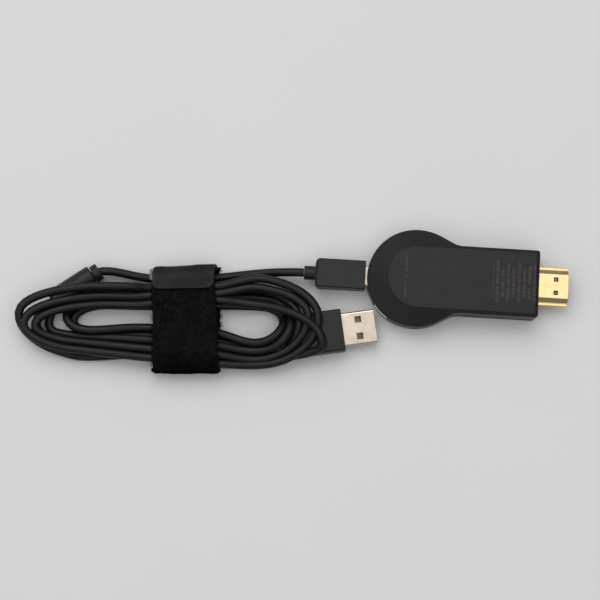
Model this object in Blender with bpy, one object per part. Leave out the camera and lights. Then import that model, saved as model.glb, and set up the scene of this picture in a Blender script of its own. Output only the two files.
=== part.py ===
"""A stick-shaped streaming media player with its power lead, built as separate pieces.

Frame: metres, +Z up. The player lies on its front cover at z = 0 with its back cover up.
Its axis is the X axis, from the round end at -X to the tip of the video plug at +X.
The power lead plugs into the round end and lies beside the player in a tied hank.
"""

import math

import bmesh
import bpy
from mathutils import Matrix, Vector

MM = 0.001

# The player's housing.
PLAYER_LENGTH = 72.0 * MM
ROUND_RADIUS = 17.5 * MM
THICKNESS = 12.0 * MM
ROUND_X = -PLAYER_LENGTH / 2 + ROUND_RADIUS
BODY_END_X = 25.0 * MM
BODY_HALF_WIDTH = 12.05 * MM
SHOULDER_ANGLE = math.radians(60.0)
NECK_FILLET = 8.0 * MM
CORNER_RADIUS = 1.0 * MM
PLATEAU_RADIUS = 10.8 * MM
PLATEAU_X = ROUND_X + 0.7 * MM
PLATEAU_END_INSET = 1.2 * MM
BEVEL_SLOPE = math.tan(math.radians(30.0))
EDGE_ROUND = 0.5 * MM
WALL = 1.3 * MM
ROOF = 1.2 * MM
LID_HEIGHT = 2.5 * MM
LID_FLOOR = 1.2 * MM
LID_EDGE = 0.9 * MM
LIP_HEIGHT = 3.6 * MM
LIP_THICKNESS = 0.8 * MM
GAP = 0.3 * MM
SMALL_GAP = 0.15 * MM

# Steps along the outline's round stretches.
CORNER_STEPS = 3
FILLET_STEPS = 4
ROUND_STEPS = 36

# The board and what it carries.
BOARD_Z = 2.6 * MM
BOARD_THICKNESS = 0.8 * MM
BOARD_TOP = BOARD_Z + BOARD_THICKNESS
BOARD_INSET = WALL + LIP_THICKNESS + 3 * GAP
BOARD_END_X = 17.0 * MM
PART_Z = BOARD_TOP + GAP

# The power socket in the round end.
PORT_Z = 5.4 * MM
SOCKET_SIZE = Vector((5.6, 8.0, 2.9)) * MM
SOCKET_WALL = 0.3 * MM
SOCKET_MOUTH_X = -PLAYER_LENGTH / 2 + 0.35 * MM
SOCKET_CORNER = 0.7 * MM

# The reset button and the light on the rim, either side of the socket.
RIM_ANGLE = math.radians(46.0)
BUTTON_SIZE = Vector((1.6, 6.4, 1.9)) * MM
BUTTON_PROUD = 0.25 * MM
LIGHT_PIPE_SIZE = Vector((2.0, 2.4, 1.2)) * MM

# The video plug.
HDMI_Z = 6.0 * MM
HDMI_WIDTH = 13.9 * MM
HDMI_HEIGHT = 4.45 * MM
HDMI_NARROW = 8.5 * MM
HDMI_NECK = 11.8 * MM
HDMI_SHOULDER_Z = 0.25 * MM
HDMI_SLOPE_Z = 0.95 * MM
HDMI_EASE = 0.45 * MM
HDMI_WALL = 0.35 * MM
HDMI_TIP_X = PLAYER_LENGTH / 2
HDMI_ROOT_X = 18.6 * MM
HDMI_HOLE = 1.6 * MM
HDMI_HOLE_Y = 2.4 * MM
HDMI_HOLE_SETBACK = 4.6 * MM

# The lead.
CORD_DIAMETER = 3.1 * MM
CORD_SIDES = 2
MICRO_BODY = Vector((17.9, 10.4, 6.8)) * MM
MICRO_GAP = 0.7 * MM
MICRO_SHELL = Vector((7.4, 6.8, 1.8)) * MM
MICRO_RELIEF_LENGTH = 3.8 * MM
MICRO_RELIEF_DIAMETER = 5.0 * MM
MICRO_FRONT_X = -PLAYER_LENGTH / 2 - MICRO_GAP
MICRO_BACK_X = MICRO_FRONT_X - MICRO_BODY.x
MICRO_CORD_X = MICRO_BACK_X - GAP - MICRO_RELIEF_LENGTH

# The charger plug: the middle of its shell's open end, and which way it points.
USB_TIP = Vector((-32.05, -17.6, 3.85)) * MM
USB_ANGLE = math.radians(10.9)
USB_SHELL = Vector((11.75, 12.0, 4.5)) * MM
USB_WALL = 0.3 * MM
USB_BODY = Vector((16.0, 15.0, 7.6)) * MM
USB_RELIEF_LENGTH = 4.5 * MM
USB_RELIEF_DIAMETER = 5.4 * MM
USB_HOLE = 2.3 * MM
USB_HOLE_Y = 3.0 * MM
USB_HOLE_SETBACK = 6.0 * MM
USB_CONTACT_Y = (-3.5 * MM, -1.0 * MM, 1.0 * MM, 3.5 * MM)

# The moulded choke on the lead: the middles of its two ends.
CHOKE_NEAR = Vector((-134.2, -5.3, 4.05)) * MM
CHOKE_FAR = Vector((-148.0, -15.6, 4.05)) * MM
CHOKE_RADIUS = 4.0 * MM
CHOKE_COLLAR_LENGTH = 2.6 * MM
CHOKE_COLLAR_RADIUS = 3.2 * MM
CHOKE_BORE = CORD_DIAMETER / 2 + 0.3 * MM
CHOKE_END_WALL = 1.6 * MM
CORE_RADIUS = 3.1 * MM

# The hank and the strap that ties it.
HANK_HEIGHT = 10.8 * MM
STRAP_CENTRE = Vector((-100.65, -18.7, 0.0)) * MM
STRAP_ANGLE = math.radians(3.35)
STRAP_WIDTH = 22.6 * MM
STRAP_FAR_Y = 16.2 * MM
STRAP_NEAR_Y = -18.3 * MM
STRAP_INNER_BOTTOM = 1.65 * MM
STRAP_INNER_TOP = 7.9 * MM
STRAP_THICKNESS = 1.1 * MM
STRAP_CORNER = 2.6 * MM
TAB_THICKNESS = 1.0 * MM
TAB_WIDTH = 22.0 * MM
TAB_NEAR_Y = 9.9 * MM
TAB_FOOT_Z = 4.6 * MM

# The lead's route from its small plug to the hank, through the strap and the choke, in millimetres.
LEAD_IN_ROUTE = (
    (-63.5, -0.1, 5.0),
    (-69.0, -0.35, 4.3),
    (-78.0, -0.9, 4.0),
    (-89.8, -3.6, 4.0),
    (-101.0, -4.4, 3.9),
    (-113.5, -5.4, 3.9),
    (-122.0, -5.0, 3.9),
    (-128.6, -4.0, 4.0),
)

# The outer edge of the hank seen from above, counter-clockwise from its right end, in millimetres.
HANK_OUTLINE = (
    (-49.6, -26.0),
    (-50.2, -17.0),
    (-52.2, -10.2),
    (-56.8, -6.0),
    (-63.5, -4.2),
    (-76.0, -4.9),
    (-90.0, -6.2),
    (-101.0, -7.4),
    (-113.0, -8.2),
    (-131.0, -7.6),
    (-146.0, -9.8),
    (-154.5, -14.4),
    (-159.0, -20.6),
    (-158.8, -27.0),
    (-153.5, -32.6),
    (-144.0, -35.4),
    (-130.0, -36.2),
    (-113.0, -35.9),
    (-90.0, -35.9),
    (-72.0, -35.7),
    (-58.0, -33.0),
    (-51.4, -29.8),
)

MATERIALS = {
    "cover_black": ((0.018, 0.018, 0.019), 0.5, 0.0),
    "front_black": ((0.012, 0.012, 0.013), 0.22, 0.0),
    "plug_gold": ((0.83, 0.58, 0.22), 0.25, 1.0),
    "plug_nickel": ((0.66, 0.6, 0.52), 0.3, 1.0),
    "contact_gold": ((0.85, 0.6, 0.25), 0.25, 1.0),
    "cord_black": ((0.016, 0.016, 0.017), 0.45, 0.0),
    "strap_black": ((0.012, 0.012, 0.012), 0.95, 0.0),
    "button_champagne": ((0.62, 0.56, 0.46), 0.35, 1.0),
    "light_clear": ((0.85, 0.85, 0.82), 0.2, 0.0),
    "board_green": ((0.02, 0.09, 0.05), 0.5, 0.0),
    "chip_black": ((0.02, 0.02, 0.02), 0.6, 0.0),
    "shield_steel": ((0.6, 0.6, 0.6), 0.35, 1.0),
    "spreader_aluminium": ((0.7, 0.7, 0.7), 0.4, 1.0),
    "pad_grey": ((0.4, 0.42, 0.45), 0.9, 0.0),
    "ferrite_grey": ((0.08, 0.08, 0.09), 0.7, 0.0),
    "insulator_black": ((0.02, 0.02, 0.02), 0.5, 0.0),
}


def clear_scene():
    """Removes whatever the file opened with."""
    for obj in list(bpy.data.objects):
        bpy.data.objects.remove(obj, do_unlink=True)


def material(name):
    """The named finish, made on first use."""
    found = bpy.data.materials.get(name)
    if found:
        return found
    colour, roughness, metallic = MATERIALS[name]
    made = bpy.data.materials.new(name)
    made.use_nodes = True
    shader = made.node_tree.nodes["Principled BSDF"]
    shader.inputs["Base Color"].default_value = (*colour, 1.0)
    shader.inputs["Roughness"].default_value = roughness
    shader.inputs["Metallic"].default_value = metallic
    return made


def add_object(name, data, finish):
    """Links an object that holds data, in the given finish."""
    obj = bpy.data.objects.new(name, data)
    bpy.context.scene.collection.objects.link(obj)
    data.materials.append(material(finish))
    return obj


def solid_from_rings(name, rings, finish, smooth=True):
    """One closed solid through rings of equal length, with a flat cap on the first and last."""
    mesh = bpy.data.meshes.new(name)
    shape = bmesh.new()
    rows = [[shape.verts.new(point) for point in ring] for ring in rings]
    for low, high in zip(rows, rows[1:]):
        for index in range(len(low)):
            after = (index + 1) % len(low)
            shape.faces.new((low[index], low[after], high[after], high[index]))
    shape.faces.new(rows[0])
    shape.faces.new(rows[-1])
    bmesh.ops.recalc_face_normals(shape, faces=shape.faces)
    shape.to_mesh(mesh)
    shape.free()
    if smooth:
        mesh.shade_smooth()
        mesh.set_sharp_from_angle(angle=math.radians(28.0))
    return add_object(name, mesh, finish)


def arc(centre, radius, start, end, steps):
    """Points along a flat arc from one angle to another, both ends kept."""
    return [
        Vector(
            (
                centre[0] + radius * math.cos(start + (end - start) * step / steps),
                centre[1] + radius * math.sin(start + (end - start) * step / steps),
            )
        )
        for step in range(steps + 1)
    ]


def mirrored(points):
    """The same run below the X axis, walked the other way."""
    return [Vector((point.x, -point.y)) for point in reversed(points)]


def keyhole(inset):
    """The housing's outline, moved inwards, counter-clockwise from the middle of the plug end."""
    corner = max(CORNER_RADIUS - inset, 0.1 * MM)
    half = BODY_HALF_WIDTH - inset
    end = BODY_END_X - inset
    radius = ROUND_RADIUS - inset
    fillet_y = BODY_HALF_WIDTH + NECK_FILLET
    shoulder_top = ROUND_RADIUS * math.sin(SHOULDER_ANGLE)
    shoulder_end_y = fillet_y - NECK_FILLET * math.sin(SHOULDER_ANGLE)
    run = (shoulder_top - shoulder_end_y) / math.cos(SHOULDER_ANGLE)
    shoulder_end_x = (
        ROUND_X + ROUND_RADIUS * math.cos(SHOULDER_ANGLE) + run * math.sin(SHOULDER_ANGLE)
    )
    fillet_x = shoulder_end_x + NECK_FILLET * math.cos(SHOULDER_ANGLE)
    quarter = math.pi / 2
    upper = arc((end - corner, half - corner), corner, 0.0, quarter, CORNER_STEPS)
    upper += arc(
        (fillet_x, fillet_y),
        NECK_FILLET + inset,
        -quarter,
        -math.pi + SHOULDER_ANGLE,
        FILLET_STEPS,
    )
    upper += arc((ROUND_X, 0.0), radius, SHOULDER_ANGLE, math.pi, ROUND_STEPS // 2)
    return upper + mirrored(upper[:-1])


def plateau():
    """The raised flat of the back, one point for each point of the housing's outline."""
    outer = keyhole(0.0)
    end = BODY_END_X - PLATEAU_END_INSET
    corner_points = CORNER_STEPS + 1
    round_start = corner_points + FILLET_STEPS + 1
    half_count = len(outer) // 2 + 1
    upper = arc(
        (end - EDGE_ROUND, PLATEAU_RADIUS - EDGE_ROUND),
        EDGE_ROUND,
        0.0,
        math.pi / 2,
        CORNER_STEPS,
    )
    for point in outer[corner_points:round_start]:
        upper.append(Vector((point.x, PLATEAU_RADIUS)))
    for point in outer[round_start:half_count]:
        angle = math.atan2(point.y, point.x - ROUND_X)
        if angle < math.pi / 2:
            upper.append(Vector((PLATEAU_X + PLATEAU_RADIUS / math.tan(angle), PLATEAU_RADIUS)))
        else:
            turn = Vector((math.cos(angle), math.sin(angle))) * PLATEAU_RADIUS
            upper.append(Vector((PLATEAU_X + turn.x, turn.y)))
    return upper + mirrored(upper[:-1])


def lifted(points, height):
    """Flat points as space points at one height."""
    return [Vector((point.x, point.y, height)) for point in points]


def bevel_heights(outer, inner):
    """The height of the wall's top under a bevel of constant slope."""
    return [THICKNESS - BEVEL_SLOPE * (a - b).length for a, b in zip(outer, inner)]


def shifted_in(outer, inner, heights, inward, down):
    """Ring on the bevel, a set distance in from the wall's top edge and lowered by down."""
    ring = []
    for edge, flat, height in zip(outer, inner, heights):
        gap = (flat - edge).length
        share = inward / gap
        place = edge.lerp(flat, share)
        ring.append(Vector((place.x, place.y, height + (THICKNESS - height) * share - down)))
    return ring


def back_cover():
    """The back half of the housing: one wall, the wide bevel and the flat keyhole plateau."""
    outer = keyhole(0.0)
    flat = plateau()
    heights = bevel_heights(outer, flat)
    wall_top = [Vector((p.x, p.y, z - EDGE_ROUND)) for p, z in zip(outer, heights)]
    softened = shifted_in(outer, flat, heights, 0.12 * MM, 0.13 * MM)
    bevel_low = shifted_in(outer, flat, heights, EDGE_ROUND, 0.0)
    centre = Vector((PLATEAU_X, 0.0))
    bevel_high = []
    flat_edge = []
    for low, edge in zip(outer, flat):
        toward = (low - edge).normalized()
        outside = edge + toward * EDGE_ROUND * 0.6
        inside = edge - toward * EDGE_ROUND
        bevel_high.append(
            Vector((outside.x, outside.y, THICKNESS - BEVEL_SLOPE * EDGE_ROUND * 0.8))
        )
        flat_edge.append(Vector((inside.x, inside.y, THICKNESS)))
    inner_outline = keyhole(WALL)
    inner_heights = [max(height - ROOF, PORT_Z + 1.6 * MM) for height in heights]
    inner_wall = [Vector((p.x, p.y, z)) for p, z in zip(inner_outline, inner_heights)]
    ceiling = []
    for edge in flat:
        inward = (centre - edge) if edge.x < PLATEAU_X else Vector((0.0, -edge.y))
        if edge.x > BODY_END_X - 2 * PLATEAU_END_INSET:
            inward = Vector((-BODY_HALF_WIDTH, -edge.y))
        place = edge + inward.normalized() * 0.7 * MM
        ceiling.append(Vector((place.x, place.y, THICKNESS - ROOF)))
    rings = [
        flat_edge,
        bevel_high,
        bevel_low,
        softened,
        wall_top,
        lifted(outer, LID_HEIGHT + GAP),
        lifted(inner_outline, LID_HEIGHT + GAP),
        inner_wall,
        ceiling,
    ]
    cover = solid_from_rings("back_cover", rings, "cover_black")
    port = rounded_block(
        "port_cutter",
        (4.0 * MM, SOCKET_SIZE.y + 0.7 * MM, SOCKET_SIZE.z + 0.7 * MM),
        (-PLAYER_LENGTH / 2 + 0.6 * MM, 0.0, PORT_Z),
        "cover_black",
        SOCKET_CORNER,
    )
    cut_away(cover, port)
    plug_slot = hdmi_profile_solid("plug_cutter", -GAP, BODY_END_X - 4 * MM, BODY_END_X + 2 * MM)
    cut_away(cover, plug_slot)
    for name, size, side in (
        ("button_cutter", BUTTON_SIZE, -1),
        ("light_cutter", LIGHT_PIPE_SIZE, 1),
    ):
        hole = rounded_block(
            name,
            (4.0 * MM, size.y + 2 * GAP, size.z + 2 * GAP),
            rim_place(side, 0.0),
            "cover_black",
            0.5 * MM,
            rim_turn(side),
        )
        cut_away(cover, hole)
    return cover


def front_cover():
    """The front half: a flat face with a rounded edge, and a locating lip round its inside."""
    lip_out = WALL + GAP
    lip_in = lip_out + LIP_THICKNESS
    rings = [
        lifted(keyhole(LID_EDGE), 0.0),
        lifted(keyhole(0.4 * LID_EDGE), 0.12 * LID_EDGE),
        lifted(keyhole(0.1 * LID_EDGE), 0.45 * LID_EDGE),
        lifted(keyhole(0.0), LID_EDGE),
        lifted(keyhole(0.0), LID_HEIGHT),
        lifted(keyhole(lip_out), LID_HEIGHT),
        lifted(keyhole(lip_out), LIP_HEIGHT),
        lifted(keyhole(lip_in), LIP_HEIGHT),
        lifted(keyhole(lip_in), LID_FLOOR),
    ]
    return solid_from_rings("front_cover", rings, "front_black")


def block_ring(size, corner, along, steps=2):
    """A rounded rectangle in the YZ plane, at one place along X."""
    half_y = size[0] / 2 - corner
    half_z = size[1] / 2 - corner
    ring = []
    corners = ((half_y, half_z), (-half_y, half_z), (-half_y, -half_z), (half_y, -half_z))
    for turn, (y, z) in enumerate(corners):
        start = turn * math.pi / 2
        for point in arc((y, z), corner, start, start + math.pi / 2, steps):
            ring.append(Vector((along, point.x, point.y)))
    return ring


def rounded_block(name, size, centre, finish, corner, turn=0.0, soft_end=0.0):
    """A block along X with rounded long edges, and its ends softened by soft_end."""
    half = size[0] / 2
    rings = []
    if soft_end:
        small = (size[1] - 2 * soft_end, size[2] - 2 * soft_end)
        rings.append(block_ring(small, max(corner - soft_end, 0.05 * MM), -half))
        rings.append(block_ring(size[1:], corner, -half + soft_end))
    else:
        rings.append(block_ring(size[1:], corner, -half))
    rings.append(block_ring(size[1:], corner, half))
    made = solid_from_rings(name, rings, finish)
    made.location = centre
    made.rotation_euler = (0.0, 0.0, turn)
    return made


def plain_block(name, low, high, finish):
    """A block with slightly broken upright edges, between two corners in millimetres."""
    size = [(b - a) * MM for a, b in zip(low, high)]
    corner = 0.2 * MM
    outline = []
    for turn, (sign_x, sign_y) in enumerate(((1, 1), (-1, 1), (-1, -1), (1, -1))):
        middle = (sign_x * (size[0] / 2 - corner), sign_y * (size[1] / 2 - corner))
        start = turn * math.pi / 2
        outline += arc(middle, corner, start, start + math.pi / 2, 1)
    rings = [lifted(outline, 0.0), lifted(outline, size[2])]
    made = solid_from_rings(name, rings, finish)
    made.location = [(a + b) / 2 * MM for a, b in zip(low[:2], high[:2])] + [low[2] * MM]
    return made


def cut_away(target, cutter):
    """Cuts one solid out of another, and keeps the cutter as a guide only."""
    cutter.hide_render = True
    cutter.display_type = "WIRE"
    cut = target.modifiers.new(cutter.name, "BOOLEAN")
    cut.operation = "DIFFERENCE"
    cut.solver = "EXACT"
    cut.object = cutter


def rim_place(side, inward):
    """A point on the round end's rim beside the socket; side is +1 or -1 along Y."""
    reach = ROUND_RADIUS - inward
    return (
        ROUND_X - reach * math.cos(RIM_ANGLE),
        side * reach * math.sin(RIM_ANGLE),
        PORT_Z - 0.4 * MM,
    )


def rim_turn(side):
    """The turn about Z that makes a piece's +X point outwards at that place on the rim."""
    return math.pi - side * RIM_ANGLE


def rim_face(size, side, proud, name, finish, corner):
    """A small piece in the rim whose outer face follows the round of the rim."""
    steps = 4
    outer_radius = ROUND_RADIUS + proud
    half_angle = size.y / 2 / outer_radius
    depth = size.x
    outline = arc((0.0, 0.0), outer_radius, -half_angle, half_angle, steps)
    back = outer_radius * math.cos(half_angle) - depth
    outline.append(Vector((back, size.y / 2)))
    outline.append(Vector((back, -size.y / 2)))
    middle = [point.lerp(Vector((outer_radius - depth / 2, 0.0)), corner / size.y * 2) for point in outline]
    rings = [
        lifted(middle, -size.z / 2),
        lifted(outline, -size.z / 2 + corner / 2),
        lifted(outline, size.z / 2 - corner / 2),
        lifted(middle, size.z / 2),
    ]
    made = solid_from_rings(name, rings, finish)
    made.location = (ROUND_X, 0.0, PORT_Z - 0.4 * MM)
    made.rotation_euler = (0.0, 0.0, rim_turn(side))
    return made


def hdmi_ring(inset, along):
    """The video plug's section: wide low half with a shoulder either side, narrow top."""
    half = HDMI_WIDTH / 2 - inset
    low = -HDMI_HEIGHT / 2 + inset
    high = HDMI_HEIGHT / 2 - inset
    shoulder = HDMI_SHOULDER_Z - inset
    neck = HDMI_NECK / 2 - inset
    ease = HDMI_EASE
    right = [
        Vector((half - ease, low)),
        Vector((half - 0.3 * ease, low + 0.3 * ease)),
        Vector((half, low + ease)),
        Vector((half, shoulder - 0.6 * ease)),
        Vector((half - 0.6 * ease, shoulder)),
        Vector((neck, shoulder)),
        Vector((neck, HDMI_SLOPE_Z - inset * 0.6)),
        Vector((HDMI_NARROW / 2 - inset * 0.6, high)),
    ]
    left = [Vector((-point.x, point.y)) for point in reversed(right)]
    return [Vector((along, point.x, HDMI_Z + point.y)) for point in right + left]


def hdmi_profile_solid(name, inset, start, end, finish="cover_black"):
    """A bar with the video plug's section."""
    return solid_from_rings(name, [hdmi_ring(inset, start), hdmi_ring(inset, end)], finish)


def video_plug():
    """The gold shell with its two latch holes, and the moulding with the contact slot in it."""
    tip_ease = 0.3 * MM
    rings = [
        hdmi_ring(0.0, HDMI_ROOT_X),
        hdmi_ring(0.0, HDMI_TIP_X - tip_ease),
        hdmi_ring(0.1 * MM, HDMI_TIP_X),
        hdmi_ring(HDMI_WALL, HDMI_TIP_X),
        hdmi_ring(HDMI_WALL, HDMI_ROOT_X + HDMI_WALL),
    ]
    shell = solid_from_rings("video_plug_shell", rings, "plug_gold")
    for side in (-1, 1):
        hole = rounded_block(
            f"latch_hole_cutter_{side + 1}",
            (HDMI_HOLE, HDMI_HOLE, 2.0 * MM),
            (HDMI_TIP_X - HDMI_HOLE_SETBACK, side * HDMI_HOLE_Y, HDMI_Z + HDMI_HEIGHT / 2),
            "plug_gold",
            0.1 * MM,
        )
        cut_away(shell, hole)
    lining = HDMI_WALL + SMALL_GAP
    slot_x = HDMI_TIP_X - 7.0 * MM
    front_x = HDMI_TIP_X - 0.9 * MM
    insulator = hdmi_profile_solid(
        "video_plug_insulator", lining, HDMI_ROOT_X + HDMI_WALL + GAP, front_x, "insulator_black"
    )
    slot = rounded_block(
        "contact_slot_cutter",
        (2 * (front_x - slot_x), 11.0 * MM, 1.7 * MM),
        (front_x, 0.0, HDMI_Z - 0.25 * MM),
        "insulator_black",
        0.2 * MM,
    )
    cut_away(insulator, slot)
    plain_block("video_plug_tail", (16.8, -6.2, 4.6), (18.3, 6.2, 7.4), "insulator_black")


def power_socket():
    """The socket's folded shell, open at the rim, and the tongue that carries its contacts."""
    half = SOCKET_SIZE.x / 2
    outer = (SOCKET_SIZE.y, SOCKET_SIZE.z)
    inner = (SOCKET_SIZE.y - 2 * SOCKET_WALL, SOCKET_SIZE.z - 2 * SOCKET_WALL)
    inner_corner = SOCKET_CORNER - SOCKET_WALL
    rings = [
        block_ring(outer, SOCKET_CORNER, half),
        block_ring(outer, SOCKET_CORNER, -half),
        block_ring(inner, inner_corner, -half),
        block_ring(inner, inner_corner, half - SOCKET_WALL),
    ]
    shell = solid_from_rings("power_socket_shell", rings, "plug_nickel")
    shell.location = (SOCKET_MOUTH_X + half, 0.0, PORT_Z)
    plain_block("power_socket_tongue", (-34.9, -1.9, 5.5), (-30.7, 1.9, 5.85), "insulator_black")


def board_and_chips():
    """The board, the parts soldered on it, its shield and what carries the heat to the back."""
    outline = []
    for point in keyhole(BOARD_INSET):
        outline.append(Vector((min(point.x, BOARD_END_X), point.y)))
    rings = [lifted(outline, BOARD_Z), lifted(outline, BOARD_TOP)]
    solid_from_rings("main_board", rings, "board_green")
    part = PART_Z / MM
    blocks = (
        ("processor_chip", (-24.0, -5.5), (-13.0, 5.5), 1.1, "chip_black"),
        ("memory_chip", (-10.0, -5.5), (-2.0, 5.5), 1.0, "chip_black"),
        ("flash_chip", (3.4, -8.4), (9.4, 1.6), 1.0, "chip_black"),
        ("wireless_module", (10.4, -8.4), (16.4, -0.4), 1.4, "shield_steel"),
        ("power_regulator", (11.4, 1.2), (14.0, 3.8), 0.8, "chip_black"),
        ("power_inductor", (4.2, 3.4), (8.2, 7.4), 1.8, "ferrite_grey"),
        ("clock_crystal", (-29.2, 5.4), (-26.7, 8.6), 0.7, "shield_steel"),
        ("bulk_capacitor", (-29.4, -5.2), (-27.0, -1.7), 1.6, "chip_black"),
        ("chip_antenna", (9.2, 6.8), (16.2, 8.4), 1.0, "light_clear"),
    )
    for name, low, high, height, finish in blocks:
        plain_block(name, (*low, part), (*high, part + height), finish)
    can_top = part + 2.5
    shield = plain_block("shield_can", (-26.0, -8.5, part), (2.0, 8.5, can_top), "shield_steel")
    hollow = plain_block(
        "shield_cutter", (-25.7, -8.2, part - 1.0), (1.7, 8.2, can_top - 0.3), "shield_steel"
    )
    cut_away(shield, hollow)
    pads = (
        ("processor_pad", (-23.5, -5.0, part + 1.35), (-13.5, 5.0, can_top - 0.55), "pad_grey"),
        ("spreader_pad", (-24.0, -6.5, can_top + 0.3), (0.0, 6.5, can_top + 1.0), "pad_grey"),
        ("heat_spreader", (-25.5, -8.4, can_top + 1.3), (12.0, 8.4, can_top + 2.3), "spreader_aluminium"),
        ("cover_pad", (-22.0, -6.5, can_top + 2.6), (8.0, 6.5, can_top + 4.2), "pad_grey"),
        ("front_spreader", (-28.0, -8.0, 1.5), (12.0, 8.0, 2.1), "spreader_aluminium"),
    )
    for name, low, high, finish in pads:
        plain_block(name, low, high, finish)


def rim_controls():
    """The reset button with its switch, and the light with its clear window."""
    rim_face(BUTTON_SIZE, -1, BUTTON_PROUD, "reset_button", "button_champagne", 0.3 * MM)
    rim_face(LIGHT_PIPE_SIZE, 1, 0.0, "light_window", "light_clear", 0.2 * MM)
    for name, side, inward, size, finish in (
        ("reset_switch_plunger", -1, 2.35 * MM, (0.8, 1.6, 1.0), "insulator_black"),
        ("reset_switch", -1, 4.7 * MM, (2.2, 3.6, 2.0), "shield_steel"),
        ("status_light", 1, 3.3 * MM, (1.0, 1.6, 1.0), "light_clear"),
    ):
        rounded_block(
            name,
            tuple(value * MM for value in size),
            rim_place(side, inward),
            finish,
            0.15 * MM,
            rim_turn(side),
        )


def smooth_route(points, spacing):
    """Even points on a Catmull-Rom curve through the route's points."""
    path = [Vector(point) for point in points]
    guard = [2 * path[0] - path[1], *path, 2 * path[-1] - path[-2]]
    fine = []
    pieces = 12
    for index in range(1, len(guard) - 2):
        before, start, end, after = guard[index - 1 : index + 3]
        for piece in range(pieces):
            t = piece / pieces
            fine.append(
                0.5
                * (
                    2 * start
                    + (end - before) * t
                    + (2 * before - 5 * start + 4 * end - after) * t**2
                    + (3 * start - before - 3 * end + after) * t**3
                )
            )
    fine.append(path[-1])
    length = sum((b - a).length for a, b in zip(fine, fine[1:]))
    count = max(2, round(length / spacing))
    even = [fine[0]]
    walked = 0.0
    for a, b in zip(fine, fine[1:]):
        step = (b - a).length
        while len(even) < count and walked + step >= length * len(even) / count:
            share = (length * len(even) / count - walked) / step
            even.append(a.lerp(b, share))
        walked += step
    return [*even, fine[-1]]


def cord_tube(name, points):
    """A round cord with closed ends along a smooth route, its first stretch straight."""
    route = [points[0], *smooth_route(points[1:], 2.5 * CORD_DIAMETER)]
    curve = bpy.data.curves.new(name, "CURVE")
    curve.dimensions = "3D"
    curve.bevel_depth = CORD_DIAMETER / 2
    curve.bevel_resolution = CORD_SIDES
    curve.use_fill_caps = True
    spline = curve.splines.new("POLY")
    spline.points.add(len(route) - 1)
    for point, place in zip(spline.points, route):
        point.co = (*place, 1.0)
    return add_object(name, curve, "cord_black")


def turned(name, profile, finish, start, direction, sides=20):
    """A solid of revolution: profile holds (distance along, radius) and may run back inside."""
    axis = direction.normalized()
    turn = axis.to_track_quat("X", "Z").to_matrix()
    rings = []
    for along, radius in profile:
        ring = []
        for side in range(sides):
            angle = 2 * math.pi * side / sides
            local = Vector((along, radius * math.cos(angle), radius * math.sin(angle)))
            ring.append(turn @ local)
        rings.append(ring)
    made = solid_from_rings(name, rings, finish)
    made.location = start
    return made


def bored(name, profile, finish, start, direction, sides=20):
    """A turned ring with a bore right through: profile is the closed loop of its section."""
    axis = direction.normalized()
    turn = axis.to_track_quat("X", "Z").to_matrix()
    mesh = bpy.data.meshes.new(name)
    shape = bmesh.new()
    rows = []
    for along, radius in profile:
        row = []
        for side in range(sides):
            angle = 2 * math.pi * side / sides
            local = Vector((along, radius * math.cos(angle), radius * math.sin(angle)))
            row.append(shape.verts.new(turn @ local))
        rows.append(row)
    for low, high in zip(rows, [*rows[1:], rows[0]]):
        for side in range(sides):
            after = (side + 1) % sides
            shape.faces.new((low[side], low[after], high[after], high[side]))
    bmesh.ops.recalc_face_normals(shape, faces=shape.faces)
    shape.to_mesh(mesh)
    shape.free()
    mesh.shade_smooth()
    mesh.set_sharp_from_angle(angle=math.radians(40.0))
    made = add_object(name, mesh, finish)
    made.location = start
    return made


def small_plug():
    """The lead's small plug: moulded body, metal shell, its tongue and the strain relief."""
    rounded_block(
        "micro_plug_body",
        tuple(MICRO_BODY),
        ((MICRO_FRONT_X + MICRO_BACK_X) / 2, 0.0, PORT_Z),
        "cord_black",
        1.2 * MM,
        soft_end=0.6 * MM,
    )
    half = MICRO_SHELL.x / 2
    outer = (MICRO_SHELL.y, MICRO_SHELL.z)
    wall = 0.25 * MM
    inner = (MICRO_SHELL.y - 2 * wall, MICRO_SHELL.z - 2 * wall)
    rings = [
        block_ring(outer, 0.45 * MM, -half),
        block_ring(outer, 0.45 * MM, half),
        block_ring(inner, 0.2 * MM, half),
        block_ring(inner, 0.2 * MM, -half + 2.2 * MM),
    ]
    pocket_depth = 2.0 * MM
    shell = solid_from_rings("micro_plug_shell", rings, "plug_nickel")
    shell.location = (MICRO_FRONT_X - pocket_depth + half, 0.0, PORT_Z)
    body = bpy.data.objects["micro_plug_body"]
    pocket = rounded_block(
        "micro_pocket_cutter",
        (2 * (pocket_depth + GAP), MICRO_SHELL.y + 2 * SMALL_GAP, MICRO_SHELL.z + 2 * SMALL_GAP),
        (MICRO_FRONT_X, 0.0, PORT_Z),
        "cord_black",
        0.5 * MM,
    )
    cut_away(body, pocket)
    plain_block("micro_plug_tongue", (-36.3, -2.6, 4.9), (-31.8, 2.6, 5.2), "insulator_black")
    radius = MICRO_RELIEF_DIAMETER / 2
    turned(
        "micro_plug_relief",
        (
            (0.0, radius),
            (MICRO_RELIEF_LENGTH * 0.8, radius * 0.94),
            (MICRO_RELIEF_LENGTH - GAP, radius * 0.8),
        ),
        "cord_black",
        Vector((MICRO_BACK_X - GAP, 0.0, PORT_Z)),
        Vector((-1.0, 0.0, 0.0)),
    )


def usb_local(along, across, height):
    """A point in the charger plug's own frame: along from its open end, back into the plug."""
    turn = Matrix.Rotation(USB_ANGLE, 3, "Z")
    return USB_TIP + turn @ Vector((along, across, height))


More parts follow.
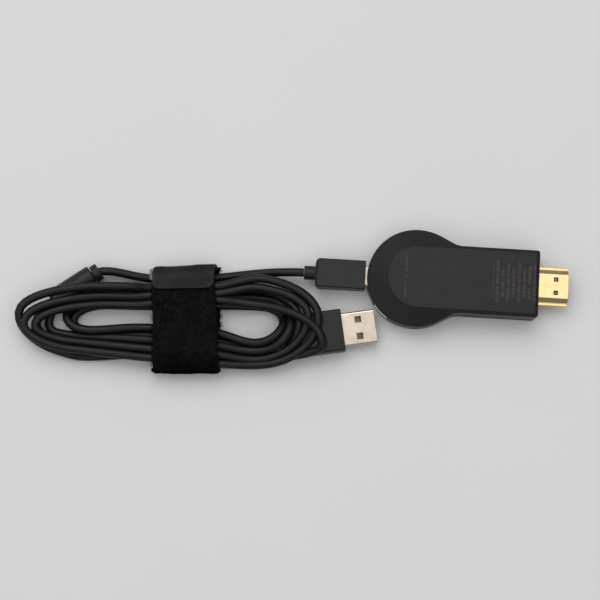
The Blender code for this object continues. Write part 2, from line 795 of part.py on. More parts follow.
def charger_plug():
    """The lead's large plug: shell with four windows, tongue, contacts, body and strain relief."""
    sunk = 4.0 * MM
    length = USB_SHELL.x + sunk
    half = length / 2
    outer = (USB_SHELL.y, USB_SHELL.z)
    inner = (USB_SHELL.y - 2 * USB_WALL, USB_SHELL.z - 2 * USB_WALL)
    rings = [
        block_ring(outer, 0.7 * MM, -half, 3),
        block_ring(outer, 0.7 * MM, half, 3),
        block_ring(inner, 0.4 * MM, half, 3),
        block_ring(inner, 0.4 * MM, -half + USB_WALL, 3),
    ]
    shell = solid_from_rings("usb_plug_shell", rings, "plug_nickel")
    shell.location = usb_local(-half, 0.0, 0.0)
    shell.rotation_euler = (0.0, 0.0, USB_ANGLE)
    for side in (-1, 1):
        hole = rounded_block(
            f"usb_hole_cutter_{side + 1}",
            (USB_HOLE, USB_HOLE, 2 * USB_SHELL.z),
            usb_local(-USB_HOLE_SETBACK, side * USB_HOLE_Y, 0.0),
            "plug_nickel",
            0.1 * MM,
            USB_ANGLE,
        )
        cut_away(shell, hole)
    tongue_height = 1.8 * MM
    tongue_low = -USB_SHELL.z / 2 + USB_WALL + SMALL_GAP
    tongue_length = length - 0.9 * MM
    rounded_block(
        "usb_plug_tongue",
        (tongue_length, inner[0] - 2 * SMALL_GAP, tongue_height),
        usb_local(-tongue_length / 2 - 0.5 * MM, 0.0, tongue_low + tongue_height / 2),
        "insulator_black",
        0.25 * MM,
        USB_ANGLE,
    )
    for index, across in enumerate(USB_CONTACT_Y, start=1):
        outermost = index in (1, len(USB_CONTACT_Y))
        contact_length = (9.6 if outermost else 8.6) * MM
        start = (1.2 if outermost else 2.2) * MM
        rounded_block(
            f"usb_contact_{index}",
            (contact_length, 1.0 * MM, 0.2 * MM),
            usb_local(
                -start - contact_length / 2, across, tongue_low + tongue_height + 0.2 * MM
            ),
            "contact_gold",
            0.05 * MM,
            USB_ANGLE,
        )
    body = rounded_block(
        "usb_plug_body",
        tuple(USB_BODY),
        usb_local(-USB_SHELL.x - USB_BODY.x / 2, 0.0, 0.0),
        "cord_black",
        1.3 * MM,
        USB_ANGLE,
        soft_end=0.8 * MM,
    )
    pocket = rounded_block(
        "usb_pocket_cutter",
        (2 * (sunk + GAP), USB_SHELL.y + 2 * SMALL_GAP, USB_SHELL.z + 2 * SMALL_GAP),
        usb_local(-USB_SHELL.x, 0.0, 0.0),
        "cord_black",
        0.8 * MM,
        USB_ANGLE,
    )
    cut_away(body, pocket)
    radius = USB_RELIEF_DIAMETER / 2
    back = USB_SHELL.x + USB_BODY.x + GAP
    turned(
        "usb_plug_relief",
        (
            (0.0, radius),
            (USB_RELIEF_LENGTH * 0.75, radius * 0.85),
            (USB_RELIEF_LENGTH, radius * 0.72),
        ),
        "cord_black",
        usb_local(-back, 0.0, 0.0),
        Matrix.Rotation(USB_ANGLE, 3, "Z") @ Vector((-1.0, 0.0, 0.0)),
    )


def choke():
    """The moulded choke: jacket and collar with a bore for the cord, round a ferrite core."""
    along = CHOKE_FAR - CHOKE_NEAR
    length = along.length
    ease = 0.8 * MM
    cavity_start = CHOKE_END_WALL
    cavity_end = length - CHOKE_END_WALL
    cavity_radius = CORE_RADIUS + SMALL_GAP
    jacket = (
        (0.0, CHOKE_BORE),
        (0.0, CHOKE_RADIUS - ease),
        (0.3 * ease, CHOKE_RADIUS - 0.3 * ease),
        (ease, CHOKE_RADIUS),
        (length - 2 * ease, CHOKE_RADIUS),
        (length - 0.5 * ease, CHOKE_RADIUS - 0.8 * ease),
        (length, CHOKE_RADIUS - 2 * ease),
        (length, CHOKE_BORE),
        (cavity_end, CHOKE_BORE),
        (cavity_end, cavity_radius),
        (cavity_start, cavity_radius),
        (cavity_start, CHOKE_BORE),
    )
    bored("choke_jacket", jacket, "cord_black", CHOKE_NEAR, along)
    core_start = cavity_start + SMALL_GAP
    core_end = cavity_end - SMALL_GAP
    core = (
        (core_start, CHOKE_BORE + 0.1 * MM),
        (core_start, CORE_RADIUS),
        (core_end, CORE_RADIUS),
        (core_end, CHOKE_BORE + 0.1 * MM),
    )
    bored("choke_core", core, "ferrite_grey", CHOKE_NEAR, along)
    collar = (
        (0.0, CHOKE_BORE),
        (0.0, CHOKE_COLLAR_RADIUS),
        (CHOKE_COLLAR_LENGTH * 0.7, CHOKE_COLLAR_RADIUS),
        (CHOKE_COLLAR_LENGTH, CHOKE_COLLAR_RADIUS * 0.8),
        (CHOKE_COLLAR_LENGTH, CHOKE_BORE),
    )
    start = CHOKE_NEAR - along.normalized() * GAP
    bored("choke_collar", collar, "cord_black", start, -along)


def strap_section(out):
    """The strap's closed section in its own YZ plane, moved outwards from the bundle by out."""
    corner = STRAP_CORNER + out
    far = STRAP_FAR_Y + out - corner
    near = STRAP_NEAR_Y - out + corner
    top = STRAP_INNER_TOP + out - corner
    bottom = STRAP_INNER_BOTTOM - out + corner
    section = []
    for turn, (y, z) in enumerate(((far, top), (near, top), (near, bottom), (far, bottom))):
        start = turn * math.pi / 2
        section += arc((y, z), corner, start, start + math.pi / 2, 4)
    return section


def strap_ring(name, inner_out, outer_out, width):
    """A closed band round the bundle."""
    mesh = bpy.data.meshes.new(name)
    shape = bmesh.new()
    loops = []
    for out, along in (
        (inner_out, -width / 2),
        (outer_out, -width / 2),
        (outer_out, width / 2),
        (inner_out, width / 2),
    ):
        loops.append([shape.verts.new((along, p.x, p.y)) for p in strap_section(out)])
    for low, high in zip(loops, [*loops[1:], loops[0]]):
        for index in range(len(low)):
            after = (index + 1) % len(low)
            shape.faces.new((low[index], low[after], high[after], high[index]))
    bmesh.ops.recalc_face_normals(shape, faces=shape.faces)
    shape.to_mesh(mesh)
    shape.free()
    mesh.shade_smooth()
    mesh.set_sharp_from_angle(angle=math.radians(40.0))
    ring = add_object(name, mesh, "strap_black")
    ring.location = STRAP_CENTRE
    ring.rotation_euler = (0.0, 0.0, STRAP_ANGLE)
    return ring


def strap():
    """The hook-and-loop strap: the band round the bundle and the tab that holds it shut."""
    strap_ring("strap_band", 0.0, STRAP_THICKNESS, STRAP_WIDTH)
    low = STRAP_THICKNESS + SMALL_GAP
    path = [p for p in strap_section(low) if p.x > TAB_NEAR_Y and p.y > TAB_FOOT_Z]
    path.append(Vector((TAB_NEAR_Y, STRAP_INNER_TOP + low)))
    outside = [p for p in strap_section(low + TAB_THICKNESS) if p.x > TAB_NEAR_Y and p.y > TAB_FOOT_Z]
    outside.append(Vector((TAB_NEAR_Y, STRAP_INNER_TOP + low + TAB_THICKNESS)))
    section = path + list(reversed(outside))
    rings = [
        [Vector((along, p.x, p.y)) for p in section]
        for along in (-TAB_WIDTH / 2, TAB_WIDTH / 2)
    ]
    tab = solid_from_rings("strap_tab", rings, "strap_black")
    tab.location = STRAP_CENTRE
    tab.rotation_euler = (0.0, 0.0, STRAP_ANGLE)


def hank():
    """The tied hank's outer shape, cut clear of the strap, the choke and the charger plug."""
    outline = smooth_loop([Vector((x * MM, y * MM)) for x, y in HANK_OUTLINE], 3)
    ease = 1.2 * MM
    middle = Vector((-104.0 * MM, -21.0 * MM))
    eased = [point + (middle - point).normalized() * ease for point in outline]
    rings = [
        lifted(eased, 0.05 * MM),
        lifted(outline, ease),
        lifted(outline, HANK_HEIGHT - ease),
        lifted(eased, HANK_HEIGHT),
    ]
    body = solid_from_rings("cord_hank", rings, "cord_black")
    waist = strap_ring("hank_waist_cutter", -GAP, 20.0 * MM, STRAP_WIDTH + 2 * GAP)
    cut_away(body, waist)
    along = (CHOKE_FAR - CHOKE_NEAR).normalized()
    room = turned(
        "choke_room_cutter",
        (
            (0.0, CHOKE_RADIUS + GAP),
            ((CHOKE_FAR - CHOKE_NEAR).length + CHOKE_COLLAR_LENGTH + 4 * GAP, CHOKE_RADIUS + GAP),
        ),
        "cord_black",
        CHOKE_NEAR - along * (CHOKE_COLLAR_LENGTH + 3 * GAP),
        along,
    )
    cut_away(body, room)
    depth = USB_BODY.x + 2 * GAP
    pocket = rounded_block(
        "usb_room_cutter",
        (2 * depth, USB_BODY.y + 2 * GAP, 2 * (USB_BODY.z + GAP)),
        usb_local(-USB_SHELL.x, 0.0, -USB_TIP.z),
        "cord_black",
        0.5 * MM,
        USB_ANGLE,
    )
    cut_away(body, pocket)
    reach = USB_RELIEF_LENGTH + 2 * GAP
    relief_room = rounded_block(
        "relief_room_cutter",
        (2 * reach, USB_RELIEF_DIAMETER + 2 * GAP, 2 * (USB_TIP.z + USB_RELIEF_DIAMETER / 2 + GAP)),
        usb_local(-USB_SHELL.x - USB_BODY.x, 0.0, -USB_TIP.z),
        "cord_black",
        0.5 * MM,
        USB_ANGLE,
    )
    cut_away(body, relief_room)


def smooth_loop(points, pieces):
    """A closed Catmull-Rom curve through flat points."""
    count = len(points)
    loop = []
    for index in range(count):
        before, start, end, after = (points[(index + step) % count] for step in (-1, 0, 1, 2))
        for piece in range(pieces):
            t = piece / pieces
            loop.append(
                0.5
                * (
                    2 * start
                    + (end - before) * t
                    + (2 * before - 5 * start + 4 * end - after) * t**2
                    + (3 * start - before - 3 * end + after) * t**3
                )
            )
    return loop


def cords():
    """The cord that isn't coiled: from the small plug through the strap and the choke."""
    along = (CHOKE_FAR - CHOKE_NEAR).normalized()
    entry = CHOKE_NEAR - along * (CHOKE_COLLAR_LENGTH + GAP)
    route = [Vector((MICRO_CORD_X, 0.0, PORT_Z)), Vector((MICRO_CORD_X - 1.5 * MM, 0.0, PORT_Z))]
    route += [Vector(point) * MM for point in LEAD_IN_ROUTE]
    route += [entry - along * 3.0 * MM, entry, CHOKE_NEAR, (CHOKE_NEAR + CHOKE_FAR) / 2, CHOKE_FAR]
    cord_tube("cord_lead_in", route)


def main():
    clear_scene()
    back_cover()
    front_cover()
    video_plug()
    power_socket()
    board_and_chips()
    rim_controls()
    small_plug()
    charger_plug()
    choke()
    strap()
    hank()
    cords()


main()
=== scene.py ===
"""Fine shapes and finishes for a streaming media player with its tied power lead.

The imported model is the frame: metres, +Z up, the player lying on its front cover at z = 0 with
its axis along X, the video plug at +X and the power lead plugged into the round end at -X.
"""

import logging
import math
from collections.abc import Sequence
from dataclasses import dataclass, field
from enum import Enum

import bmesh
import bpy
import numpy as np
from mathutils import Matrix, Vector, noise


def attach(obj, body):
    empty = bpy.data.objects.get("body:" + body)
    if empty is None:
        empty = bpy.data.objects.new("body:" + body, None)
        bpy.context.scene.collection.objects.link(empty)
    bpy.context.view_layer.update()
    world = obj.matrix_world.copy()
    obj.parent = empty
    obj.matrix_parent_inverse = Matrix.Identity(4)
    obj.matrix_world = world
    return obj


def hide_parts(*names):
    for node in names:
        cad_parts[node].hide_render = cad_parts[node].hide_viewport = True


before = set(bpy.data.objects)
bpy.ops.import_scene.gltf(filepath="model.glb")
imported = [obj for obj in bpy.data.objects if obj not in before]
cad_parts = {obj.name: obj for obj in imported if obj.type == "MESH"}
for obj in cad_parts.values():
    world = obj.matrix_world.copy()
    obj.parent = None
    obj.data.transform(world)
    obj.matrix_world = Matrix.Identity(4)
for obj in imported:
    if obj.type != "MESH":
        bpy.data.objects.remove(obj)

log = logging.getLogger("media_player")

MM = 0.001
# The Mix node's colour sockets, which share their names with its other kinds.
MIX_FIRST = 6
MIX_SECOND = 7
MIX_RESULT = 2
Colour = tuple[float, float, float]
Point = tuple[float, float, float]
Rings = Sequence[Sequence[Vector]]


class Body(Enum):
    """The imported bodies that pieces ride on."""

    PLAYER = "player"
    BUTTON = "button"
    LEAD = "power_lead"


class Slot(Enum):
    """The record's material slots, given with each new piece."""

    COVER = "cover"
    FRONT = "front"
    GOLD = "gold"
    NICKEL = "nickel"
    CONTACT = "contact"
    INSULATOR = "insulator"
    CORD = "cord"
    STRAP = "strap"
    HOOK_TAB = "hook_tab"
    BUTTON = "button"
    SHIELD = "shield"
    CLEAR = "clear"


# ---------------------------------------------------------------------------------------------
# Finishes
# ---------------------------------------------------------------------------------------------


def toned(colour: Colour, share: float) -> Colour:
    """The same colour, darker below 1 and lighter above it."""
    return tuple(min(1.0, channel * share) for channel in colour)


class Shader:
    """One Principled material in the making. Its texture space is the piece's own, in millimetres."""

    def __init__(self, name: str) -> None:
        """Starts an empty material.

        Args:
            name: the material's name.
        """
        self.material = bpy.data.materials.new(name)
        self.material.use_nodes = True
        self.surface = self.material.node_tree.nodes["Principled BSDF"]
        place = self.node("ShaderNodeTexCoord")
        self.space = self.stretched(place.outputs["Object"], (1 / MM, 1 / MM, 1 / MM))

    def node(self, kind: str, **settings: object) -> bpy.types.Node:
        """Adds a node.

        Args:
            kind: the node's type name.
            settings: attributes to set on it.

        Returns:
            The new node.
        """
        made = self.material.node_tree.nodes.new(kind)
        for name, value in settings.items():
            setattr(made, name, value)
        return made

    def join(self, source: bpy.types.NodeSocket, target: bpy.types.NodeSocket) -> None:
        """Links one socket to another."""
        self.material.node_tree.links.new(source, target)

    def feed(self, target: bpy.types.NodeSocket, value: object) -> None:
        """Links a socket, or sets a plain value on it.

        Args:
            target: the input socket.
            value: a socket, a number or a colour.
        """
        if isinstance(value, bpy.types.NodeSocket):
            self.join(value, target)
        elif isinstance(value, tuple):
            target.default_value = (*value, 1.0) if len(target.default_value) == 4 else value
        else:
            target.default_value = value

    def stretched(
        self, source: bpy.types.NodeSocket, scale: Point, turn: float = 0.0
    ) -> bpy.types.NodeSocket:
        """Scales a texture space, after turning it about Z.

        Args:
            source: the space to change.
            scale: the factors along X, Y and Z.
            turn: the turn about Z that lines its X axis up with the texture's.

        Returns:
            The new space.
        """
        mapping = self.node("ShaderNodeMapping", vector_type="TEXTURE")
        mapping.inputs["Rotation"].default_value = (0.0, 0.0, turn)
        mapping.inputs["Scale"].default_value = tuple(1 / factor for factor in scale)
        self.join(source, mapping.inputs["Vector"])
        return mapping.outputs["Vector"]

    def noise(
        self, size: float, detail: float = 2.0, space: bpy.types.NodeSocket | None = None
    ) -> bpy.types.NodeSocket:
        """Soft noise from 0 to 1.

        Args:
            size: the size of its lumps, in the space's own units.
            detail: how many finer layers it has.
            space: the texture space, the piece's own if left out.

        Returns:
            The noise's value.
        """
        made = self.node("ShaderNodeTexNoise")
        made.inputs["Scale"].default_value = 1 / size
        made.inputs["Detail"].default_value = detail
        self.join(space or self.space, made.inputs["Vector"])
        return made.outputs["Fac"]

    def cells(self, size: float, space: bpy.types.NodeSocket | None = None) -> bpy.types.NodeSocket:
        """The distance to the nearest of scattered points, for pits and specks.

        Args:
            size: how far apart the points are.
            space: the texture space, the piece's own if left out.

        Returns:
            The distance, in shares of size.
        """
        made = self.node("ShaderNodeTexVoronoi", feature="F1")
        made.inputs["Scale"].default_value = 1 / size
        self.join(space or self.space, made.inputs["Vector"])
        return made.outputs["Distance"]

    def spread(
        self,
        value: bpy.types.NodeSocket,
        source: tuple[float, float],
        target: tuple[float, float] = (0.0, 1.0),
    ) -> bpy.types.NodeSocket:
        """Maps one range of values onto another, and holds it there.

        Args:
            value: what to map.
            source: the range it comes in.
            target: the range it goes out in.

        Returns:
            The mapped value.
        """
        made = self.node("ShaderNodeMapRange", clamp=True)
        self.join(value, made.inputs["Value"])
        for name, number in zip(
            ("From Min", "From Max", "To Min", "To Max"), (*source, *target)
        ):
            made.inputs[name].default_value = number
        return made.outputs["Result"]

    def maths(self, operation: str, first: object, second: object = 0.0) -> bpy.types.NodeSocket:
        """One step of arithmetic.

        Args:
            operation: the Math node's operation.
            first: a socket or a number.
            second: a socket or a number.

        Returns:
            The result.
        """
        made = self.node("ShaderNodeMath", operation=operation)
        self.feed(made.inputs[0], first)
        self.feed(made.inputs[1], second)
        return made.outputs["Value"]

    def mixed(self, share: object, first: object, second: object) -> bpy.types.NodeSocket:
        """Blends two colours.

        Args:
            share: how much of the second there is, from 0 to 1.
            first: a colour or a colour socket.
            second: a colour or a colour socket.

        Returns:
            The blended colour.
        """
        made = self.node("ShaderNodeMix", data_type="RGBA")
        self.feed(made.inputs["Factor"], share)
        self.feed(made.inputs[MIX_FIRST], first)
        self.feed(made.inputs[MIX_SECOND], second)
        return made.outputs[MIX_RESULT]

    def relief(
        self,
        height: bpy.types.NodeSocket,
        depth: float,
        under: bpy.types.NodeSocket | None = None,
    ) -> bpy.types.NodeSocket:
        """Turns a height into a bumped normal.

        Args:
            height: the height, from 0 to 1.
            depth: how deep it is, in millimetres.
            under: a normal that it adds to.

        Returns:
            The bumped normal.
        """
        made = self.node("ShaderNodeBump")
        made.inputs["Strength"].default_value = 1.0
        made.inputs["Distance"].default_value = depth * MM
        self.join(height, made.inputs["Height"])
        if under:
            self.join(under, made.inputs["Normal"])
        return made.outputs["Normal"]

    def finish(self, **values: object) -> bpy.types.Material:
        """Sets the surface's own sockets.

        Args:
            values: socket names, with _ for a space, and a socket, number or colour for each.

        Returns:
            The finished material.
        """
        for name, value in values.items():
            self.feed(self.surface.inputs[name.replace("_", " ")], value)
        return self.material


@dataclass(frozen=True)
class Finish:
    """A finish that is made once, under its own name."""

    name: str

    def material(self) -> bpy.types.Material:
        """The finish's material, made on first use."""
        return bpy.data.materials.get(self.name) or self.make(Shader(self.name))

    def make(self, shader: Shader) -> bpy.types.Material:
        """Builds the material.

        Args:
            shader: the empty material to build on.

        Returns:
            The finished material.
        """
        return shader.finish()


@dataclass(frozen=True)
class MouldedPlastic(Finish):
    """Moulded plastic with a fine eroded grain, uneven from handling."""

    colour: Colour = (0.03, 0.03, 0.03)
    roughness: float = 0.45
    grain: float = 0.16
    grain_depth: float = 0.008
    handled: float = 0.06
    lint: float = 0.0
    shine: float = 0.32

    def tone(self, shader: Shader) -> bpy.types.NodeSocket:
        """The plastic's colour, with slow clouds and, where lint is set, scattered pale specks.

        Args:
            shader: the material in the making.

        Returns:
            The colour.
        """
        clouds = shader.noise(8.0, 3.0)
        colour = shader.mixed(clouds, toned(self.colour, 0.82), toned(self.colour, 1.18))
        if self.lint:
            specks = shader.spread(shader.cells(2.6), (0.035, 0.06), (self.lint, 0.0))
            colour = shader.mixed(specks, colour, (0.35, 0.34, 0.33))
        return colour

    def make(self, shader: Shader) -> bpy.types.Material:
        """Builds the grain, the clouds and the handling marks."""
        smears = shader.noise(5.0, 4.0)
        rough = (self.roughness - self.handled, self.roughness + self.handled)
        return shader.finish(
            Base_Color=self.tone(shader),
            Roughness=shader.spread(smears, (0.3, 0.7), rough),
            Specular_IOR_Level=self.shine,
            Normal=shader.relief(shader.noise(self.grain, 2.0), self.grain_depth),
        )


@dataclass(frozen=True)
class PrintedCover(MouldedPlastic):
    """The back cover's plastic, with rows of plain printed dashes that stand for its small print."""

    ink: Colour = (0.05, 0.041, 0.034)
    start_x: float = 8.4
    end_x: float = 23.6
    row_pitch: float = 1.9
    row_height: float = 1.15
    half_width: float = 9.2
    dash: float = 0.55
    lone_row: float = -22.4

    def tone(self, shader: Shader) -> bpy.types.NodeSocket:
        """The cover's colour with the dashes printed over it."""
        parts = shader.node("ShaderNodeSeparateXYZ")
        shader.join(shader.space, parts.inputs["Vector"])
        x, y, z = parts.outputs
        rows = shader.maths("DIVIDE", x, self.row_pitch)
        within = shader.maths("LESS_THAN", shader.maths("FRACT", rows), self.row_height / self.row_pitch)
        joined = shader.node("ShaderNodeCombineXYZ")
        shader.join(shader.maths("MULTIPLY", shader.maths("FLOOR", rows), 7.3), joined.inputs["X"])
        shader.join(shader.maths("DIVIDE", y, self.dash), joined.inputs["Y"])
        dashes = shader.spread(shader.noise(0.8, 1.0, joined.outputs["Vector"]), (0.4, 0.5))
        rim = shader.node("ShaderNodeCombineXYZ")
        shader.join(joined.inputs["X"].links[0].from_socket, rim.inputs["X"])
        reach = shader.spread(
            shader.noise(0.7, 0.0, rim.outputs["Vector"]),
            (0.3, 0.7),
            (0.45 * self.half_width, self.half_width),
        )
        short = shader.maths("LESS_THAN", shader.maths("ABSOLUTE", y), reach)
        block = shader.maths("MULTIPLY", within, short)
        for mask in (
            shader.maths("GREATER_THAN", x, self.start_x),
            shader.maths("LESS_THAN", x, self.end_x),
        ):
            block = shader.maths("MULTIPLY", block, mask)
        from_row = shader.maths("ABSOLUTE", shader.maths("SUBTRACT", x, self.lone_row))
        lone = shader.maths("LESS_THAN", from_row, 0.45)
        lone = shader.maths("MULTIPLY", lone, shader.maths("LESS_THAN", shader.maths("ABSOLUTE", y), 8.0))
        ink = shader.maths("MULTIPLY", shader.maths("MAXIMUM", block, lone), dashes)
        ink = shader.maths("MULTIPLY", ink, shader.maths("GREATER_THAN", z, 11.5))
        worn = shader.spread(shader.noise(0.3, 2.0), (0.3, 0.7), (0.45, 0.95))
        return shader.mixed(shader.maths("MULTIPLY", ink, worn), super().tone(shader), self.ink)


@dataclass(frozen=True)
class PlatedMetal(Finish):
    """Drawn and plated sheet metal: long fine streaks, a slow change of tint, faint scratches."""

    colour: Colour = (0.9, 0.9, 0.9)
    tint: Colour = (0.8, 0.8, 0.8)
    roughness: float = 0.25
    turn: float = 0.0
    streak: float = 0.09
    depth: float = 0.002

    def make(self, shader: Shader) -> bpy.types.Material:
        """Builds the streaks along the turned X axis."""
        along = shader.stretched(shader.space, (0.03, 1.0, 1.0), self.turn)
        streaks = shader.noise(self.streak, 3.0, along)
        clouds = shader.spread(shader.noise(3.5, 3.0), (0.35, 0.7))
        rough = (self.roughness - 0.06, self.roughness + 0.09)
        return shader.finish(
            Base_Color=shader.mixed(clouds, self.colour, self.tint),
            Metallic=1.0,
            Roughness=shader.spread(streaks, (0.3, 0.7), rough),
            Normal=shader.relief(streaks, self.depth),
        )


@dataclass(frozen=True)
class CordJacket(Finish):
    """Soft extruded cord jacket: satin black, faintly uneven, with a little lint on it."""

    colour: Colour = (0.005, 0.005, 0.0055)
    roughness: float = 0.42

    def make(self, shader: Shader) -> bpy.types.Material:
        """Builds the slow ripples of the extrusion and the dusty patches."""
        patches = shader.noise(6.0, 4.0)
        ripple = shader.noise(1.3, 2.0)
        skin = shader.relief(shader.noise(0.22, 2.0), 0.008)
        rough = (self.roughness - 0.08, self.roughness + 0.12)
        return shader.finish(
            Base_Color=shader.mixed(patches, toned(self.colour, 0.7), toned(self.colour, 1.5)),
            Roughness=shader.spread(patches, (0.3, 0.75), rough),
            Specular_IOR_Level=0.28,
            Normal=shader.relief(ripple, 0.03, skin),
        )


@dataclass(frozen=True)
class PileYarn(Finish):
    """Matt nylon yarn, for the strap's loop pile and its woven ground."""

    colour: Colour = (0.0035, 0.0035, 0.0038)
    clump: float = 1.1

    def make(self, shader: Shader) -> bpy.types.Material:
        """Builds clumps of lighter and darker yarn."""
        clumps = shader.spread(shader.noise(self.clump, 4.0), (0.3, 0.75))
        return shader.finish(
            Base_Color=shader.mixed(clumps, toned(self.colour, 0.55), toned(self.colour, 1.9)),
            Roughness=0.85,
            Specular_IOR_Level=0.12,
            Normal=shader.relief(shader.noise(0.2, 3.0), 0.08),
        )


@dataclass(frozen=True)
class HookTape(Finish):
    """The hook tab's nylon: dark, with a painted highlight on each hook's root where the hooks catch the
    light.
    """

    colour: Colour = (0.018, 0.018, 0.0195)
    pitch: float = 0.62
    turn: float = 0.0

    def make(self, shader: Shader) -> bpy.types.Material:
        """Builds the hooks' bumps and their painted highlights."""
        along = shader.stretched(shader.space, (1.0, 0.8, 1.0), self.turn)
        roots = shader.spread(shader.cells(self.pitch, along), (0.1, 0.42), (1.0, 0.0))
        clouds = shader.noise(2.4, 3.0)
        # Painted highlight: the base colour is brightened at each hook's root, unevenly across the tab.
        painted_glints = shader.maths("MULTIPLY", roots, shader.spread(clouds, (0.35, 0.7), (0.15, 1.0)))
        return shader.finish(
            Base_Color=shader.mixed(painted_glints, toned(self.colour, 0.55), toned(self.colour, 3.6)),
            Roughness=0.6,
            Specular_IOR_Level=0.4,
            Normal=shader.relief(roots, 0.09),
        )


@dataclass(frozen=True)
class SolderMask(Finish):
    """Green solder mask with copper tracks showing through it."""

    colour: Colour = (0.012, 0.075, 0.035)
    track: Colour = (0.05, 0.16, 0.06)

    def make(self, shader: Shader) -> bpy.types.Material:
        """Builds square tracks from two sets of stepped bands."""
        coarse = shader.node("ShaderNodeTexBrick", offset=0.5, squash=1.0)
        coarse.inputs["Scale"].default_value = 0.45
        coarse.inputs["Mortar Size"].default_value = 0.05
        shader.join(shader.space, coarse.inputs["Vector"])
        tracks = coarse.outputs["Fac"]
        return shader.finish(
            Base_Color=shader.mixed(tracks, self.colour, self.track),
            Roughness=shader.spread(shader.noise(2.0), (0.3, 0.7), (0.25, 0.4)),
            Normal=shader.relief(tracks, 0.03),
        )


@dataclass(frozen=True)
class ThermalPad(Finish):
    """A soft filled pad: matt, finely speckled."""

    colour: Colour = (0.36, 0.39, 0.43)

    def make(self, shader: Shader) -> bpy.types.Material:
        """Builds the filler's specks."""
        specks = shader.noise(0.18, 3.0)
        return shader.finish(
            Base_Color=shader.mixed(specks, toned(self.colour, 0.75), toned(self.colour, 1.2)),
            Roughness=0.92,
            Normal=shader.relief(specks, 0.03),
        )


@dataclass(frozen=True)
class PaleFloor(Finish):
    """A plain pale matt sheet."""

    colour: Colour = (0.73, 0.73, 0.735)

    def make(self, shader: Shader) -> bpy.types.Material:
        """Builds a barely visible unevenness."""
        clouds = shader.noise(90.0, 2.0)
        return shader.finish(
            Base_Color=shader.mixed(clouds, toned(self.colour, 0.985), toned(self.colour, 1.015)),
            Roughness=0.7,
            Specular_IOR_Level=0.2,
            Normal=shader.relief(shader.noise(1.4, 3.0), 0.02),
        )


BACK_PLASTIC = PrintedCover("back_plastic", colour=(0.0095, 0.0085, 0.0098), roughness=0.44, lint=0.06)
FRONT_PLASTIC = MouldedPlastic(
    "front_plastic", colour=(0.008, 0.008, 0.0085), roughness=0.3, grain_depth=0.004
)
PLUG_PLASTIC = MouldedPlastic("plug_plastic", colour=(0.009, 0.009, 0.0095), roughness=0.42, lint=0.05)
LINER_PLASTIC = MouldedPlastic("liner_plastic", colour=(0.007, 0.007, 0.0075), roughness=0.5)
CLEAR_PLASTIC = MouldedPlastic("window_plastic", colour=(0.62, 0.62, 0.6), roughness=0.2, grain_depth=0.002)
CERAMIC = MouldedPlastic("antenna_ceramic", colour=(0.7, 0.7, 0.68), roughness=0.35)
CHIP_RESIN = MouldedPlastic("chip_resin", colour=(0.02, 0.02, 0.02), roughness=0.6, grain=0.09)
FERRITE = MouldedPlastic("ferrite", colour=(0.06, 0.06, 0.065), roughness=0.7, grain=0.3, grain_depth=0.02)
GOLD_PLATE = PlatedMetal("gold_plate", (1.0, 0.8, 0.4), (1.0, 0.86, 0.5), 0.17)
CONTACT_GOLD = PlatedMetal("contact_gold", (0.9, 0.66, 0.26), (0.95, 0.74, 0.36), 0.22)
WARM_NICKEL = PlatedMetal("warm_nickel", (0.66, 0.58, 0.49), (0.55, 0.47, 0.39), 0.2, math.radians(10.9))
CHAMPAGNE = PlatedMetal("champagne_plate", (0.86, 0.78, 0.66), (0.74, 0.66, 0.54), 0.3)
SPRING_STEEL = PlatedMetal("spring_steel", (0.62, 0.64, 0.68), (0.5, 0.52, 0.56), 0.25)
# Steel made dark as painted shade, for what shows through the plugs' windows and latch holes.
SHADE_DARK_STEEL = PlatedMetal("shade_dark_steel", (0.2, 0.19, 0.18), (0.12, 0.115, 0.11), 0.4)
ALUMINIUM = PlatedMetal("sheet_aluminium", (0.78, 0.78, 0.79), (0.7, 0.7, 0.71), 0.35, 0.0, 0.2)
CORD_JACKET = CordJacket("cord_jacket")
PILE_YARN = PileYarn("pile_yarn")
STRAP_GROUND = PileYarn("strap_ground", (0.003, 0.003, 0.0032), 2.0)
CREAM_YARN = PileYarn("cream_yarn", (0.42, 0.4, 0.34), 0.6)
HOOK_TAPE = HookTape("hook_tape", turn=math.radians(3.35))
BOARD_MASK = SolderMask("solder_mask")
PAD_GREY = ThermalPad("thermal_pad")
FLOOR_SHEET = PaleFloor("pale_floor")


# ---------------------------------------------------------------------------------------------
# Shapes
# ---------------------------------------------------------------------------------------------


def arc(centre: tuple[float, float], radius: float, start: float, end: float, steps: int) -> list[Vector]:
    """Points along a flat arc.

    Args:
        centre: the arc's centre.
        radius: its radius.
        start: the angle it starts at.
        end: the angle it ends at.
        steps: how many steps it is walked in.

    Returns:
        The points, both ends kept.
    """
    angles = [start + (end - start) * step / steps for step in range(steps + 1)]
    return [
        Vector((centre[0] + radius * math.cos(a), centre[1] + radius * math.sin(a))) for a in angles
    ]


@dataclass(frozen=True)
class Corner:
    """One corner of a section, and the radius that it is rounded with."""

    x: float
    y: float
    radius: float = 0.0


